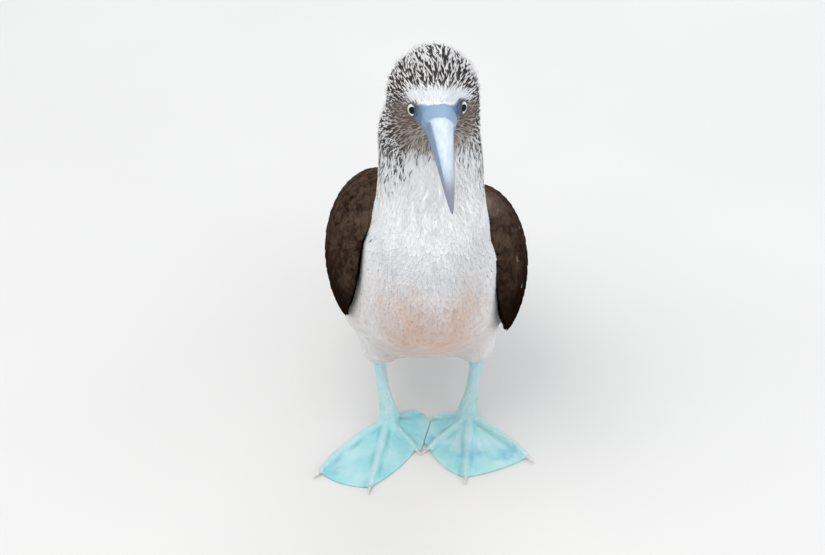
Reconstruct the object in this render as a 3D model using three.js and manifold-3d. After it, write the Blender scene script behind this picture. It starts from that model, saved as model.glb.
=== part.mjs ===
// A blue-footed booby, life size, standing upright and facing -Y, as a set of closed solids.
// Millimetres, +Z up. The bird's left is +X. Built round a point on the floor midway between the
// two toe joints, then moved so that the origin is the middle of the footprint on the floor.
import * as THREE from "three";
import { mergeVertices } from "three/addons/utils/BufferGeometryUtils.js";
import Module from "manifold-3d";

const wasm = await Module();
wasm.setup();

const GAP = 0.35; // clearance between touching nodes
const SIDES = { left: 1, right: -1 };
const DEGREE = Math.PI / 180;

// Body: horizontal sections from the belly to the crown.
// z: height, front and back: where the section starts and ends along Y, half: half its width,
// shift: its middle along X, point: how pointed its front is, 1 for an ellipse.
const BODY = [
  { z: 78, front: 24, back: 24, half: 0.5, shift: -2, point: 1 },
  { z: 80, front: -2, back: 50, half: 38, shift: -2, point: 1 },
  { z: 90, front: -17, back: 76, half: 58, shift: -2, point: 0.85 },
  { z: 105, front: -34, back: 91, half: 66.5, shift: -3.5, point: 0.85 },
  { z: 125, front: -55, back: 97, half: 68, shift: -3.5, point: 0.9 },
  { z: 147, front: -80, back: 93, half: 65, shift: -3, point: 0.95 },
  { z: 171, front: -102, back: 82, half: 62, shift: -2, point: 1 },
  { z: 197, front: -114, back: 66, half: 58.5, shift: -1, point: 1 },
  { z: 223, front: -116, back: 48, half: 54.5, shift: 0, point: 1 },
  { z: 248, front: -111, back: 29, half: 49.5, shift: 0, point: 1 },
  { z: 272, front: -103, back: 10, half: 45, shift: 1, point: 1 },
  { z: 296, front: -95, back: -8, half: 43, shift: 1, point: 1 },
  { z: 320, front: -92, back: -17, half: 42, shift: 1, point: 1 },
  { z: 342, front: -93, back: -23, half: 41, shift: 0, point: 1.05 },
  { z: 361, front: -100, back: -27, half: 40, shift: 0, point: 1.25 },
  { z: 379, front: -106, back: -29, half: 37, shift: 2.2, point: 2.1 },
  { z: 395, front: -107, back: -31, half: 36, shift: 2.2, point: 2.15 },
  { z: 409, front: -99, back: -36, half: 31, shift: 2.2, point: 1.5 },
  { z: 420, front: -88, back: -45, half: 22, shift: 2.2, point: 1 },
  { z: 427, front: -76, back: -55, half: 12, shift: 2.2, point: 1 },
  { z: 428.5, front: -65, back: -65, half: 1, shift: 2.2, point: 1 },
];
const WIDEST_SHARE = 0.54; // where a section is widest, from its front
const BODY_AROUND = 26;
const BODY_ALONG = 36;

// The head turns a little to the bird's left, and the turn fades down the neck.
const HEAD_TURN = 5 * DEGREE;
const TURN_LOW = 325;
const TURN_HIGH = 370;
const HEAD_AXIS = { x: 3, y: -66 };

const NECK_CUT = { y: -45, z: 276, tilt: -24 * DEGREE };
const HEAD_CUT = { y: -60, z: 346, tilt: -16 * DEGREE };

// Legs
const TOE_JOINT = { left: [38, 2, 10], right: [-36, -4, 10] };
const ANKLE = { left: [43, 12, 66], right: [-43, 8, 66] };
const THIGH_RISE = { left: 4, right: 7 }; // how far the thighs end above their lowest rows

// Toes, from the outer one to the hind one: angle from straight ahead, positive away from the
// other foot, length without the claw, radius and height at the root, and bow, how far the toe
// bends out at half length.
const TOES = {
  left: [
    { angle: 45, length: 72, radius: 4.3, rise: 6.4, bow: 5 },
    { angle: -4, length: 77, radius: 4.6, rise: 6.6, bow: 0 },
    { angle: -44, length: 54, radius: 4, rise: 6.4, bow: -2 },
    { angle: -100, length: 33, radius: 3.4, rise: 14, bow: -3 },
  ],
  right: [
    { angle: 42.5, length: 88, radius: 4.3, rise: 6.4, bow: 6 },
    { angle: 10, length: 85, radius: 4.6, rise: 6.6, bow: 0 },
    { angle: -37, length: 43, radius: 4, rise: 6.4, bow: -2 },
    { angle: -124, length: 33, radius: 3.4, rise: 14, bow: -3 },
  ],
};
const CLAW_LENGTH = 7.5;
const HIND_CLAW_LENGTH = 2.5;
const WEB_TOP = 2.4; // thickness of a web away from the joint
// How far the edges of the outer, inner and hind webs are past a straight line
const WEB_BULGE = { left: [0.03, 0.04, 0.2], right: [0.03, 0.04, 0.6] };
const FEET_MEET = { x: 2.8, y: 0, turn: -12.3 * DEGREE }; // plane between the inner webs

// Bill: sections along its own axis, from inside the head to the tip.
const BILL_ROOT = [3, -104, 391];
const BILL_LENGTH = 100.5;
const BILL_DROOP = 8.5 * DEGREE;
const BILL = [
  { along: -16, top: 5, bottom: -5, half: 4 },
  { along: -13, top: 8.6, bottom: -12, half: 10 },
  { along: -4, top: 10, bottom: -15, half: 13.6 },
  { along: 3, top: 10.4, bottom: -14.6, half: 13 },
  { along: 14, top: 10.4, bottom: -12.8, half: 10.2 },
  { along: 32, top: 9.2, bottom: -10.2, half: 8.3 },
  { along: 50, top: 7.3, bottom: -7.8, half: 6.5 },
  { along: 67, top: 5.4, bottom: -6, half: 4.9 },
  { along: 81, top: 3.6, bottom: -4.8, half: 3.5 },
  { along: 92, top: 1.2, bottom: -4, half: 2.1 },
  { along: 98, top: -1, bottom: -3.8, half: 1.1 },
  { along: BILL_LENGTH, top: -3.1, bottom: -3.6, half: 0.2 },
];

const GAPE_LENGTH = 16; // the mouth's groove in the head, and its depth
const GAPE_DEEP = 1.4;

// Eyes
const EYE = { out: 15.4, y: -90, z: 391.5, radius: 7, opening: 4.9 };
const EYE_LOOK = [0.73, -0.65, 0.2];
const LID_TUBE = 0.9;

// The folded wing is a sheet with an elliptic section. Each row is a station from the wrist to
// the tip: its outermost point, the X of the ellipse's centre (in), its half heights above and
// below that point, and the depth of the core under the sheet.
const WING = [
  { x: 56, y: -62, z: 238, in: 55, up: 3, down: 4, deep: 3 },
  { x: 69, y: -50, z: 229, in: 45, up: 36, down: 40, deep: 15 },
  { x: 80, y: -27, z: 212, in: 42, up: 59, down: 63, deep: 24 },
  { x: 85, y: 0, z: 191, in: 42, up: 66, down: 73, deep: 27 },
  { x: 82, y: 33, z: 167, in: 41, up: 63, down: 70, deep: 26 },
  { x: 75, y: 68, z: 145, in: 36, up: 46, down: 58, deep: 20 },
  { x: 61, y: 106, z: 127, in: 29, up: 29, down: 42, deep: 11 },
  { x: 47, y: 148, z: 112, in: 22, up: 17, down: 28, deep: 6 },
  { x: 35, y: 193, z: 98, in: 17, up: 11, down: 18, deep: 4 },
  { x: 25, y: 238, z: 85, in: 14, up: 6.5, down: 10, deep: 2.5 },
  { x: 17, y: 280, z: 73, in: 16, up: 1, down: 1.5, deep: 1 },
];
const WING_WRAP = { up: 112 * DEGREE, down: 50 * DEGREE };

// Tiers of coverts and secondaries: vanes from one station to the next, over a spread of v
const COVERT_TIERS = [
  { count: 5, from: 0.1, to: 0.29, spread: 0.76, half: 0.25, lift: 0.9, point: 0.5 },
  { count: 6, from: 0.25, to: 0.46, spread: 0.82, half: 0.21, lift: 0.9, point: 0.5 },
  { count: 5, from: 0.41, to: 0.67, spread: 0.76, half: 0.25, lift: 0.9, point: 0.6 },
];
const PRIMARIES = {
  count: 5,
  from: 0.6,
  to: 0.76,
  longest: 0.99,
  start: -0.66,
  spread: 1.2,
  half: 0.3,
  lift: 0.4,
  point: 0.55,
};
const WING_DROOP = { left: -10, right: 6 }; // how far a wing is above its rows in front
const WING_OUT = { left: -2.5, right: 0.5 }; // how far it is farther out

// Tail
const TAIL_ROOT = [-1, 84, 114];
const TAIL_SLOPE = 20 * DEGREE;
const TAIL_FEATHERS = 10;
const TAIL_LONGEST = 222;
const TAIL_SHORTEST = 130;
const TAIL_FAN = 13 * DEGREE;

const VANE_THICK = 0.7;
const VANE_STEP = VANE_THICK + GAP; // rise from one vane to the next that it lies over
const VANE_ROOT = 0.25; // share of a vane's length over which it comes out of the surface

// Uniform Catmull-Rom through a table's rows, column by column.
function sample(rows, t) {
  const place = Math.min(Math.max(t, 0), 1) * (rows.length - 1);
  const i = Math.min(Math.floor(place), rows.length - 2);
  const f = place - i;
  const at = (k) => rows[Math.min(Math.max(k, 0), rows.length - 1)];
  const found = {};
  for (const key of Object.keys(rows[0])) {
    const [a, b, c, d] = [at(i - 1)[key], at(i)[key], at(i + 1)[key], at(i + 2)[key]];
    const bend = (2 * a - 5 * b + 4 * c - d) * f + (3 * b - a - 3 * c + d) * f * f;
    found[key] = b + 0.5 * f * (c - a + bend);
  }
  return found;
}

function smoothStep(low, high, value) {
  return THREE.MathUtils.smoothstep(value, low, high);
}

// Solids in and out of the boolean library
function solidOf(geometry) {
  const bare = new THREE.BufferGeometry();
  bare.setAttribute("position", geometry.getAttribute("position").clone());
  if (geometry.index) bare.setIndex(geometry.index.clone());
  const merged = mergeVertices(bare, 1e-3);
  const kept = [];
  const { array } = merged.index;
  for (let i = 0; i < array.length; i += 3) {
    const [a, b, c] = [array[i], array[i + 1], array[i + 2]];
    if (a !== b && b !== c && a !== c) kept.push(a, b, c);
  }
  const vertProperties = new Float32Array(merged.getAttribute("position").array);
  const triVerts = new Uint32Array(kept);
  return new wasm.Manifold(new wasm.Mesh({ numProp: 3, vertProperties, triVerts }));
}

function geometryOf(solid) {
  const largest = solid.decompose().sort((a, b) => b.volume() - a.volume())[0];
  const mesh = largest.getMesh();
  const geometry = new THREE.BufferGeometry();
  geometry.setAttribute("position", new THREE.BufferAttribute(mesh.vertProperties, 3));
  geometry.setIndex(new THREE.BufferAttribute(mesh.triVerts, 1));
  geometry.computeVertexNormals();
  return geometry;
}

// The same closed surface, pushed out along its normals.
function grown(geometry, amount) {
  const bare = new THREE.BufferGeometry();
  bare.setAttribute("position", geometry.getAttribute("position").clone());
  if (geometry.index) bare.setIndex(geometry.index.clone());
  const merged = mergeVertices(bare, 1e-3);
  merged.computeVertexNormals();
  const position = merged.getAttribute("position");
  const normal = merged.getAttribute("normal");
  for (let i = 0; i < position.count; i += 1) {
    const point = new THREE.Vector3().fromBufferAttribute(position, i);
    point.addScaledVector(new THREE.Vector3().fromBufferAttribute(normal, i), amount);
    position.setXYZ(i, point.x, point.y, point.z);
  }
  return merged;
}

// A closed surface from a unit sphere: place(t, angle) gives a point for t from 0 to 1, pole to pole.
function ballOf(around, along, place) {
  const geometry = new THREE.SphereGeometry(1, around, along);
  const position = geometry.getAttribute("position");
  const pole = (t) => place(t, 0).add(place(t, Math.PI)).multiplyScalar(0.5);
  const poles = [pole(1), pole(0)];
  for (let i = 0; i < position.count; i += 1) {
    const column = i % (around + 1);
    const row = Math.floor(i / (around + 1));
    const angle = (column % around) * ((2 * Math.PI) / around);
    const ends = { 0: poles[0], [along]: poles[1] };
    const point = ends[row] ?? place(1 - row / along, angle);
    position.setXYZ(i, point.x, point.y, point.z);
  }
  return outward(geometry);
}

// Turns the faces round where they point inwards.
function outward(geometry) {
  const { array } = geometry.index;
  const position = geometry.getAttribute("position");
  let volume = 0;
  for (let i = 0; i < array.length; i += 3) {
    const [a, b, c] = [0, 1, 2].map((k) =>
      new THREE.Vector3().fromBufferAttribute(position, array[i + k]),
    );
    volume += a.dot(b.cross(c));
  }
  if (volume < 0) {
    for (let i = 0; i < array.length; i += 3) {
      [array[i + 1], array[i + 2]] = [array[i + 2], array[i + 1]];
    }
  }
  return geometry;
}

// A closed tube of changing section along the rows: x, y, z, side and deep are the half sizes.
function loft(rows, around, along, up) {
  const centre = (t) => {
    const s = sample(rows, t);
    return new THREE.Vector3(s.x, s.y, s.z);
  };
  return ballOf(around, along, (t, angle) => {
    const s = sample(rows, t);
    const step = 0.01;
    const ahead = centre(Math.min(t + step, 1)).sub(centre(Math.max(t - step, 0))).normalize();
    const side = ahead.clone().cross(up).normalize();
    const deep = side.clone().cross(ahead).normalize();
    return new THREE.Vector3(s.x, s.y, s.z)
      .addScaledVector(side, Math.max(s.side, 0.02) * Math.cos(angle))
      .addScaledVector(deep, Math.max(s.deep, 0.02) * Math.sin(angle));
  });
}

// A closed slab: place(u, v, top) gives points for u and v from 0 to 1 on its two faces, which
// are split into triangles alike.
function slab(along, across, place) {
  const points = [];
  const faces = [];
  const wide = across + 1;
  const at = (i, j, top) => (top ? 0 : (along + 1) * wide) + i * wide + j;
  for (const top of [true, false]) {
    for (let i = 0; i <= along; i += 1) {
      for (let j = 0; j <= across; j += 1) {
        const p = place(i / along, j / across, top);
        points.push(p.x, p.y, p.z);
      }
    }
  }
  for (let i = 0; i < along; i += 1) {
    for (let j = 0; j < across; j += 1) {
      const [a, b, c, d] = [[i, j], [i + 1, j], [i + 1, j + 1], [i, j + 1]];
      faces.push([a, b, c].map((k) => at(...k, true)), [a, c, d].map((k) => at(...k, true)));
      faces.push([a, c, b].map((k) => at(...k, false)), [a, d, c].map((k) => at(...k, false)));
    }
  }
  const rim = [];
  for (let i = 0; i < along; i += 1) rim.push([i, 0]);
  for (let j = 0; j < across; j += 1) rim.push([along, j]);
  for (let i = along; i > 0; i -= 1) rim.push([i, across]);
  for (let j = across; j > 0; j -= 1) rim.push([0, j]);
  rim.forEach((start, k) => {
    const end = rim[(k + 1) % rim.length];
    faces.push([at(...start, true), at(...end, false), at(...end, true)]);
    faces.push([at(...start, true), at(...start, false), at(...end, false)]);
  });
  const geometry = new THREE.BufferGeometry();
  geometry.setAttribute("position", new THREE.Float32BufferAttribute(points, 3));
  geometry.setIndex(faces.flat());
  return outward(geometry);
}

// Head turn for a point on the body, bill or eye
function turned(point) {
  const angle = HEAD_TURN * smoothStep(TURN_LOW, TURN_HIGH, point.z);
  const [x, y] = [point.x - HEAD_AXIS.x, point.y - HEAD_AXIS.y];
  const [cos, sin] = [Math.cos(angle), Math.sin(angle)];
  return new THREE.Vector3(
    HEAD_AXIS.x + x * cos - y * sin,
    HEAD_AXIS.y + x * sin + y * cos,
    point.z,
  );
}

// Body
function bodyPoint(t, angle) {
  const s = sample(BODY, t);
  const middle = s.front + (s.back - s.front) * WIDEST_SHARE;
  const ahead = Math.cos(angle);
  const reach = ahead > 0 ? middle - s.front : s.back - middle;
  const point = ahead > 0 ? s.point : 1;
  const out = Math.sign(Math.sin(angle)) * Math.abs(Math.sin(angle)) ** point;
  return turned(new THREE.Vector3(s.shift + s.half * out, middle - reach * ahead, s.z));
}

function halfSpace(cut, above) {
  const size = 600;
  const box = new THREE.BoxGeometry(size, size, size);
  box.translate(0, 0, (above ? 1 : -1) * (size / 2 + GAP / 2));
  box.rotateX(cut.tilt);
  box.translate(0, cut.y, cut.z);
  return solidOf(box);
}

const bodyGeometry = ballOf(BODY_AROUND, BODY_ALONG, bodyPoint);
const body = solidOf(bodyGeometry);
const bodyRoom = solidOf(grown(bodyGeometry, GAP));

// Legs
function vector(list) {
  return new THREE.Vector3(...list);
}

function thigh(side) {
  const ankle = vector(ANKLE[side]);
  const out = SIDES[side];
  const rows = [
    { in: 0, y: 0, z: -3, side: 0.5, deep: 0.5 },
    { in: 0, y: 0, z: -2, side: 6.6, deep: 7 },
    { in: 0, y: -1, z: 6, side: 12, deep: 14 },
    { in: 1, y: -4, z: 18, side: 18, deep: 22 },
    { in: 3, y: -8, z: 36, side: 20, deep: 28 },
    { in: 6, y: -12, z: 56, side: 15, deep: 24 },
    { in: 8, y: -14, z: 66, side: 0.5, deep: 0.5 },
  ].map((row) => ({
    x: ankle.x - out * row.in,
    y: ankle.y + row.y,
    z: ankle.z + row.z + THIGH_RISE[side] * (1 - smoothStep(0, 36, row.z)),
    side: row.side,
    deep: row.deep,
  }));
  return loft(rows, 14, 10, new THREE.Vector3(0, 1, 0));
}

function tarsus(side) {
  const [joint, ankle] = [vector(TOE_JOINT[side]), vector(ANKLE[side])];
  const between = (share) => joint.clone().lerp(ankle, share);
  const stations = [
    [-0.16, 0.5, 0.5, 1.5],
    [-0.1, 7.5, 5.5, 1.5],
    [0.06, 9.4, 6.4, 1.9],
    [0.22, 7.6, 5.6, 1.4],
    [0.45, 5.8, 5.2, 0.5],
    [0.72, 5.3, 5.6, 0],
    [0.95, 5.8, 6.6, 0],
    [1.12, 5.8, 6.6, 0],
    [1.22, 3.5, 4, 0],
    [1.26, 0.5, 0.5, 0],
  ];
  const rows = stations.map(([share, wide, deep, inner]) => {
    const p = between(share);
    return { x: p.x - SIDES[side] * inner, y: p.y, z: p.z, side: wide, deep };
  });
  return loft(rows, 12, 9, new THREE.Vector3(0, 1, 0));
}

// Feet
function toeDirection(side, angle) {
  const turn = angle * DEGREE;
  return new THREE.Vector3(SIDES[side] * Math.sin(turn), -Math.cos(turn), 0);
}

// A point along a toe, at the height of its joint
function toePoint(side, spec, share) {
  const ahead = toeDirection(side, spec.angle);
  const aside = toeDirection(side, spec.angle + 90);
  return vector(TOE_JOINT[side])
    .addScaledVector(ahead, share * spec.length)
    .addScaledVector(aside, spec.bow * Math.sin(Math.PI * share));
}

function toe(side, spec) {
  const shares = [-0.06, -0.03, 0.1, 0.3, 0.38, 0.5, 0.62, 0.7, 0.84, 0.96, 1];
  const swell = [0.05, 0.8, 1, 0.86, 0.96, 0.76, 0.74, 0.84, 0.66, 0.56, 0.05];
  const rows = shares.map((share, i) => {
    const p = toePoint(side, spec, share);
    const radius = spec.radius * swell[i];
    const z = spec.rise - (spec.rise - 2.8) * smoothStep(0, 0.55, share);
    return { x: p.x, y: p.y, z, side: radius, deep: radius * 0.95 };
  });
  return loft(rows, 6, 10, new THREE.Vector3(0, 0, 1));
}

function web(side) {
  const joint = vector(TOE_JOINT[side]);
  const gaps = TOES[side].length - 1;
  return slab(5, 3 * gaps, (u, v, top) => {
    const i = Math.min(Math.floor(v * gaps + 1e-6), gaps - 1);
    const f = v * gaps - i;
    const share = 0.02 + 0.95 * u;
    const p = toePoint(side, TOES[side][i], share);
    p.lerp(toePoint(side, TOES[side][i + 1], share), f);
    const bulge = 1 + WEB_BULGE[side][i] * 4 * f * (1 - f);
    p.sub(joint).multiplyScalar(bulge).add(joint);
    const rise = TOES[side][i].rise * (1 - f) + TOES[side][i + 1].rise * f;
    p.z = top ? WEB_TOP + 0.8 * rise * (1 - smoothStep(0, 0.5, u)) : -3;
    return p;
  });
}

function footRoot(side) {
  const joint = vector(TOE_JOINT[side]);
  return loft(
    [
      { x: joint.x, y: joint.y + 9, z: 4.5, side: 0.3, deep: 0.3 },
      { x: joint.x, y: joint.y + 7.5, z: 4.5, side: 5.5, deep: 4.5 },
      { x: joint.x, y: joint.y, z: 5, side: 9, deep: 6.5 },
      { x: joint.x, y: joint.y - 9, z: 4.5, side: 8, deep: 5.5 },
      { x: joint.x, y: joint.y - 20, z: 4, side: 0.3, deep: 0.3 },
    ],
    12,
    8,
    new THREE.Vector3(0, 0, 1),
  );
}

function claw(side, spec) {
  const joint = vector(TOE_JOINT[side]);
  const ahead = toeDirection(side, spec.angle);
  const tip = joint.clone().addScaledVector(ahead, spec.length);
  const clawLength = spec === TOES[side].at(-1) ? HIND_CLAW_LENGTH : CLAW_LENGTH;
  const stations = [
    [-6, 2.6, 0.2],
    [-5, 2.6, 1.4],
    [0, 2.8, 1.9],
    [0.5 * clawLength, 2.4, 1.5],
    [0.85 * clawLength, 1.5, 0.8],
    [clawLength, 0.9, 0.15],
  ];
  const rows = stations.map(([out, z, radius]) => {
    const p = tip.clone().addScaledVector(ahead, out);
    return { x: p.x, y: p.y, z, side: radius * 0.8, deep: radius };
  });
  return loft(rows, 5, 5, new THREE.Vector3(0, 0, 1));
}

// Bill
function billPlace(along, side, high) {
  const cos = Math.cos(BILL_DROOP);
  const sin = Math.sin(BILL_DROOP);
  return turned(
    new THREE.Vector3(
      BILL_ROOT[0] + side,
      BILL_ROOT[1] - along * cos - high * sin,
      BILL_ROOT[2] - along * sin + high * cos,
    ),
  );
}

function mouthHeight(along) {
  return -4.2 + 1.9 * smoothStep(0, 60, along) - 1.6 * smoothStep(70, BILL_LENGTH, along);
}

function wholeBill() {
  return ballOf(16, 20, (t, angle) => {
    const s = sample(BILL, t);
    const middle = mouthHeight(s.along);
    const up = Math.cos(angle);
    const out = Math.sin(angle);
    const high = up > 0 ? (s.top - middle) * up ** 1.15 : (middle - s.bottom) * up;
    const clipped = Math.sign(out) * Math.abs(out) ** 0.9;
    return billPlace(s.along, s.half * clipped, middle + high);
  });
}

// What lies on one side of the mouth line, which is curved along the bill
function mouthHalf(upper) {
  return solidOf(
    slab(16, 1, (u, v, top) => {
      const along = -40 + u * (BILL_LENGTH + 60);
      const edge = mouthHeight(along) + (upper ? GAP / 2 : -GAP / 2);
      const far = upper ? 60 : -60;
      return billPlace(along, (v - 0.5) * 90, top ? edge : far);
    }),
  );
}

// The corner of the mouth: a shallow groove in the head that carries the mouth line on
function gape() {
  const cut = slab(4, 1, (u, v, top) => {
    const along = GAPE_LENGTH * (u - 1) - 2;
    const edge = mouthHeight(along) + (top ? 0.5 : -0.5);
    return billPlace(along, (v - 0.5) * 90, edge);
  });
  return solidOf(cut).subtract(solidOf(grown(bodyGeometry, -GAPE_DEEP)));
}

// Eyes and lids
function eyeCentre(side) {
  return turned(new THREE.Vector3(HEAD_AXIS.x + SIDES[side] * EYE.out, EYE.y, EYE.z));
}

function eyeBall(side, radius) {
  const ball = new THREE.SphereGeometry(radius, 12, 8);
  const c = eyeCentre(side);
  ball.translate(c.x, c.y, c.z);
  return ball;
}

function lid(side) {
  const upright = new THREE.Vector3(0, 0, 1);
  const look = vector(EYE_LOOK).multiply(new THREE.Vector3(SIDES[side], 1, 1)).normalize();
  look.applyAxisAngle(upright, HEAD_TURN);
  const ring = new THREE.TorusGeometry(EYE.opening, LID_TUBE, 5, 14);
  ring.applyQuaternion(new THREE.Quaternion().setFromUnitVectors(upright, look));
  const depth = Math.sqrt(EYE.radius ** 2 - EYE.opening ** 2);
  const centre = eyeCentre(side).addScaledVector(look, depth);
  ring.translate(centre.x, centre.y, centre.z);
  return ring;
}

// Wings
// A point on the wing's sheet: u from wrist to tip, v from -1 at the upper edge to 1 at the
// lower edge.
function wingSheet(side, u, v) {
  const s = sample(WING, u);
  const step = 0.02;
  const [before, after] = [sample(WING, u - step), sample(WING, u + step)];
  const slope = Math.atan2(before.z - after.z, after.y - before.y);
  const angle = -v * (v < 0 ? WING_WRAP.up : WING_WRAP.down);
  const rise = (v < 0 ? s.up : s.down) * Math.sin(angle);
  const droop = WING_DROOP[side] * (1 - smoothStep(0.35, 0.7, u));
  return new THREE.Vector3(
    SIDES[side] * (s.in + (s.x - s.in) * Math.cos(angle) + WING_OUT[side]),
    s.y + rise * Math.sin(slope),
    s.z + rise * Math.cos(slope) + droop,
  );
}

// The same, lifted off the sheet by a height
function wingPoint(side, u, v, high) {
  const step = 0.01;
  const [low, far] = [Math.max(u - step, 0), Math.min(u + step, 1)];
  const ahead = wingSheet(side, far, v).sub(wingSheet(side, low, v));
  const across = wingSheet(side, u, v + step).sub(wingSheet(side, u, v - step));
  const normal = ahead.cross(across).normalize().multiplyScalar(-SIDES[side]);
  return wingSheet(side, u, v).addScaledVector(normal, high);
}

function wingCore(side) {
  return slab(12, 7, (a, b, top) => {
    const u = 0.002 + 0.996 * a;
    const v = 2 * b - 1;
    const s = sample(WING, u);
    const edge = Math.sqrt(Math.max(1 - v * v, 0));
    const deep = 0.5 + (s.deep - 0.5) * edge;
    return wingPoint(side, u, v * 0.98, top ? 0 : -deep);
  });
}

// A feather's outline: half width, as a share of the widest, by the share of its length
function vaneHalf(share, point) {
  const root = 0.55 + 0.45 * Math.min(share / 0.25, 1);
  const tip = Math.sqrt(Math.max(1 - Math.max((share - point) / (1 - point), 0) ** 2, 0));
  return root * Math.max(tip, 0.12);
}

// Height of a vane above the surface that carries it: it comes out of that surface near its
// root and lies clear of it from there on. lean is how far its low edge drops.
function vaneHeight(share, lean, lift) {
  const clear = GAP + VANE_THICK + lean;
  return -1.2 + (clear + 1.2) * smoothStep(0, VANE_ROOT, share) + lift * share;
}

// A vane on the wing: it runs from one station to another about the line v and leans across, so
// that each lies over the next one down.
function wingVane(side, vane) {
  const lean = 0.5 * VANE_STEP * ((2 * vane.half) / vane.apart);
  return slab(4, 2, (a, b, top) => {
    const u = vane.from + (vane.to - vane.from) * a;
    const across = 2 * b - 1;
    const v = vane.v + across * vane.half * vaneHalf(a, vane.point);
    const high = vaneHeight(a, lean, vane.lift) - lean * across;
    return wingPoint(side, u, v, top ? high : high - VANE_THICK);
  });
}

function wing(side) {
  let solid = solidOf(wingCore(side));
  for (const tier of COVERT_TIERS) {
    const apart = (2 * tier.spread) / (tier.count - 1);
    for (let i = 0; i < tier.count; i += 1) {
      const v = apart * i - tier.spread;
      const lag = 0.03 * Math.abs(v);
      const vane = { ...tier, v, apart, from: tier.from - lag, to: tier.to - lag };
      solid = solid.add(solidOf(wingVane(side, vane)));
    }
  }
  for (let i = 0; i < PRIMARIES.count; i += 1) {
    const share = i / (PRIMARIES.count - 1);
    const apart = PRIMARIES.spread / (PRIMARIES.count - 1);
    const to = PRIMARIES.to + (PRIMARIES.longest - PRIMARIES.to) * share;
    const vane = { ...PRIMARIES, to, apart, v: PRIMARIES.start + PRIMARIES.spread * share };
    solid = solid.add(solidOf(wingVane(side, vane)));
  }
  return solid;
}

// Tail
function tailPoint(along, side, high) {
  return new THREE.Vector3(
    TAIL_ROOT[0] + side,
    TAIL_ROOT[1] + along * Math.cos(TAIL_SLOPE) + high * Math.sin(TAIL_SLOPE),
    TAIL_ROOT[2] - along * Math.sin(TAIL_SLOPE) + high * Math.cos(TAIL_SLOPE),
  );
}

function tailCore() {
  const rows = [
    { along: -20, half: 1, deep: 1 },
    { along: -16, half: 26, deep: 20 },
    { along: 20, half: 26, deep: 17 },
    { along: 60, half: 19, deep: 9 },
    { along: 95, half: 12, deep: 4 },
    { along: 112, half: 0.6, deep: 0.5 },
  ];
  return ballOf(16, 10, (t, angle) => {
    const s = sample(rows, t);
    return tailPoint(s.along, s.half * Math.sin(angle), s.deep * Math.cos(angle) - 1);
  });
}

function tailVane(i) {
  const spread = (2 * i) / (TAIL_FEATHERS - 1) - 1;
  const rank = Math.abs(spread);
  const length = TAIL_LONGEST - (TAIL_LONGEST - TAIL_SHORTEST) * rank ** 1.2;
  const turn = TAIL_FAN * spread;
  const half = 9.5 - 2 * rank;
  const layer = 1.5 - VANE_STEP * (0.5 * TAIL_FEATHERS * rank + (spread < 0 ? 0.5 : 0));
  return slab(5, 2, (a, b, top) => {
    const along = 24 + (length - 24) * a;
    const across = (2 * b - 1) * half * vaneHalf(a, 0.5);
    const sag = -3 * a * a;
    const high = layer + sag + 0.5 * (1 - Math.abs(2 * b - 1));
    const x = across * Math.cos(turn) + along * Math.sin(turn);
    const y = along * Math.cos(turn) - across * Math.sin(turn);
    return tailPoint(y, x, top ? high : high - VANE_THICK);
  });
}

function tail() {
  let solid = solidOf(tailCore());
  for (let i = 0; i < TAIL_FEATHERS; i += 1) solid = solid.add(solidOf(tailVane(i)));
  return solid;
}

// Materials
const finish = (color, roughness) => new THREE.MeshStandardMaterial({ color, roughness, metalness: 0 });
const materials = {
  white: finish(0xf1eee9, 0.85),
  streaked: finish(0xa89a8c, 0.85),
  brown: finish(0x3b2d25, 0.7),
  tailBrown: finish(0x5a4a3e, 0.75),
  bill: finish(0x9db7cf, 0.45),
  blue: finish(0x7fd6dd, 0.55),
  eye: finish(0xe6e3b8, 0.12),
};

const booby = new THREE.Group();

function addNode(name, solid, material) {
  const mesh = new THREE.Mesh(geometryOf(solid), material);
  mesh.name = name;
  booby.add(mesh);
}

const floorBlock = new THREE.BoxGeometry(900, 900, 100);
floorBlock.translate(0, 0, -50);
const underFloor = solidOf(floorBlock);

// Everything past the plane between the two feet, as seen from one of them
function otherSide(side) {
  const size = 300;
  const block = new THREE.BoxGeometry(size, size, size);
  block.translate(-SIDES[side] * (size / 2 - GAP), 0, 0);
  block.rotateZ(FEET_MEET.turn);
  block.translate(FEET_MEET.x, FEET_MEET.y, 0);
  return solidOf(block);
}

const bill = wholeBill();
const billSolid = solidOf(bill);
const billRoom = solidOf(grown(bill, GAP));

const belowNeck = halfSpace(NECK_CUT, false);
const aboveNeck = halfSpace(NECK_CUT, true);
const belowHead = halfSpace(HEAD_CUT, false);
const aboveHead = halfSpace(HEAD_CUT, true);

let head = body.intersect(aboveHead).subtract(billRoom).subtract(gape());
for (const side of Object.keys(SIDES)) {
  head = head.add(solidOf(lid(side)).subtract(billRoom));
}
for (const side of Object.keys(SIDES)) {
  head = head.subtract(solidOf(eyeBall(side, EYE.radius + GAP)));
  addNode(`eye_${side}`, solidOf(eyeBall(side, EYE.radius)).subtract(billRoom), materials.eye);
}
addNode("head", head, materials.streaked);
addNode("neck", body.intersect(aboveNeck).intersect(belowHead), materials.white);
addNode("bill_upper", billSolid.intersect(mouthHalf(true)), materials.bill);
addNode("bill_lower", billSolid.intersect(mouthHalf(false)), materials.bill);
addNode("torso", body.intersect(belowNeck), materials.white);

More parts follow.
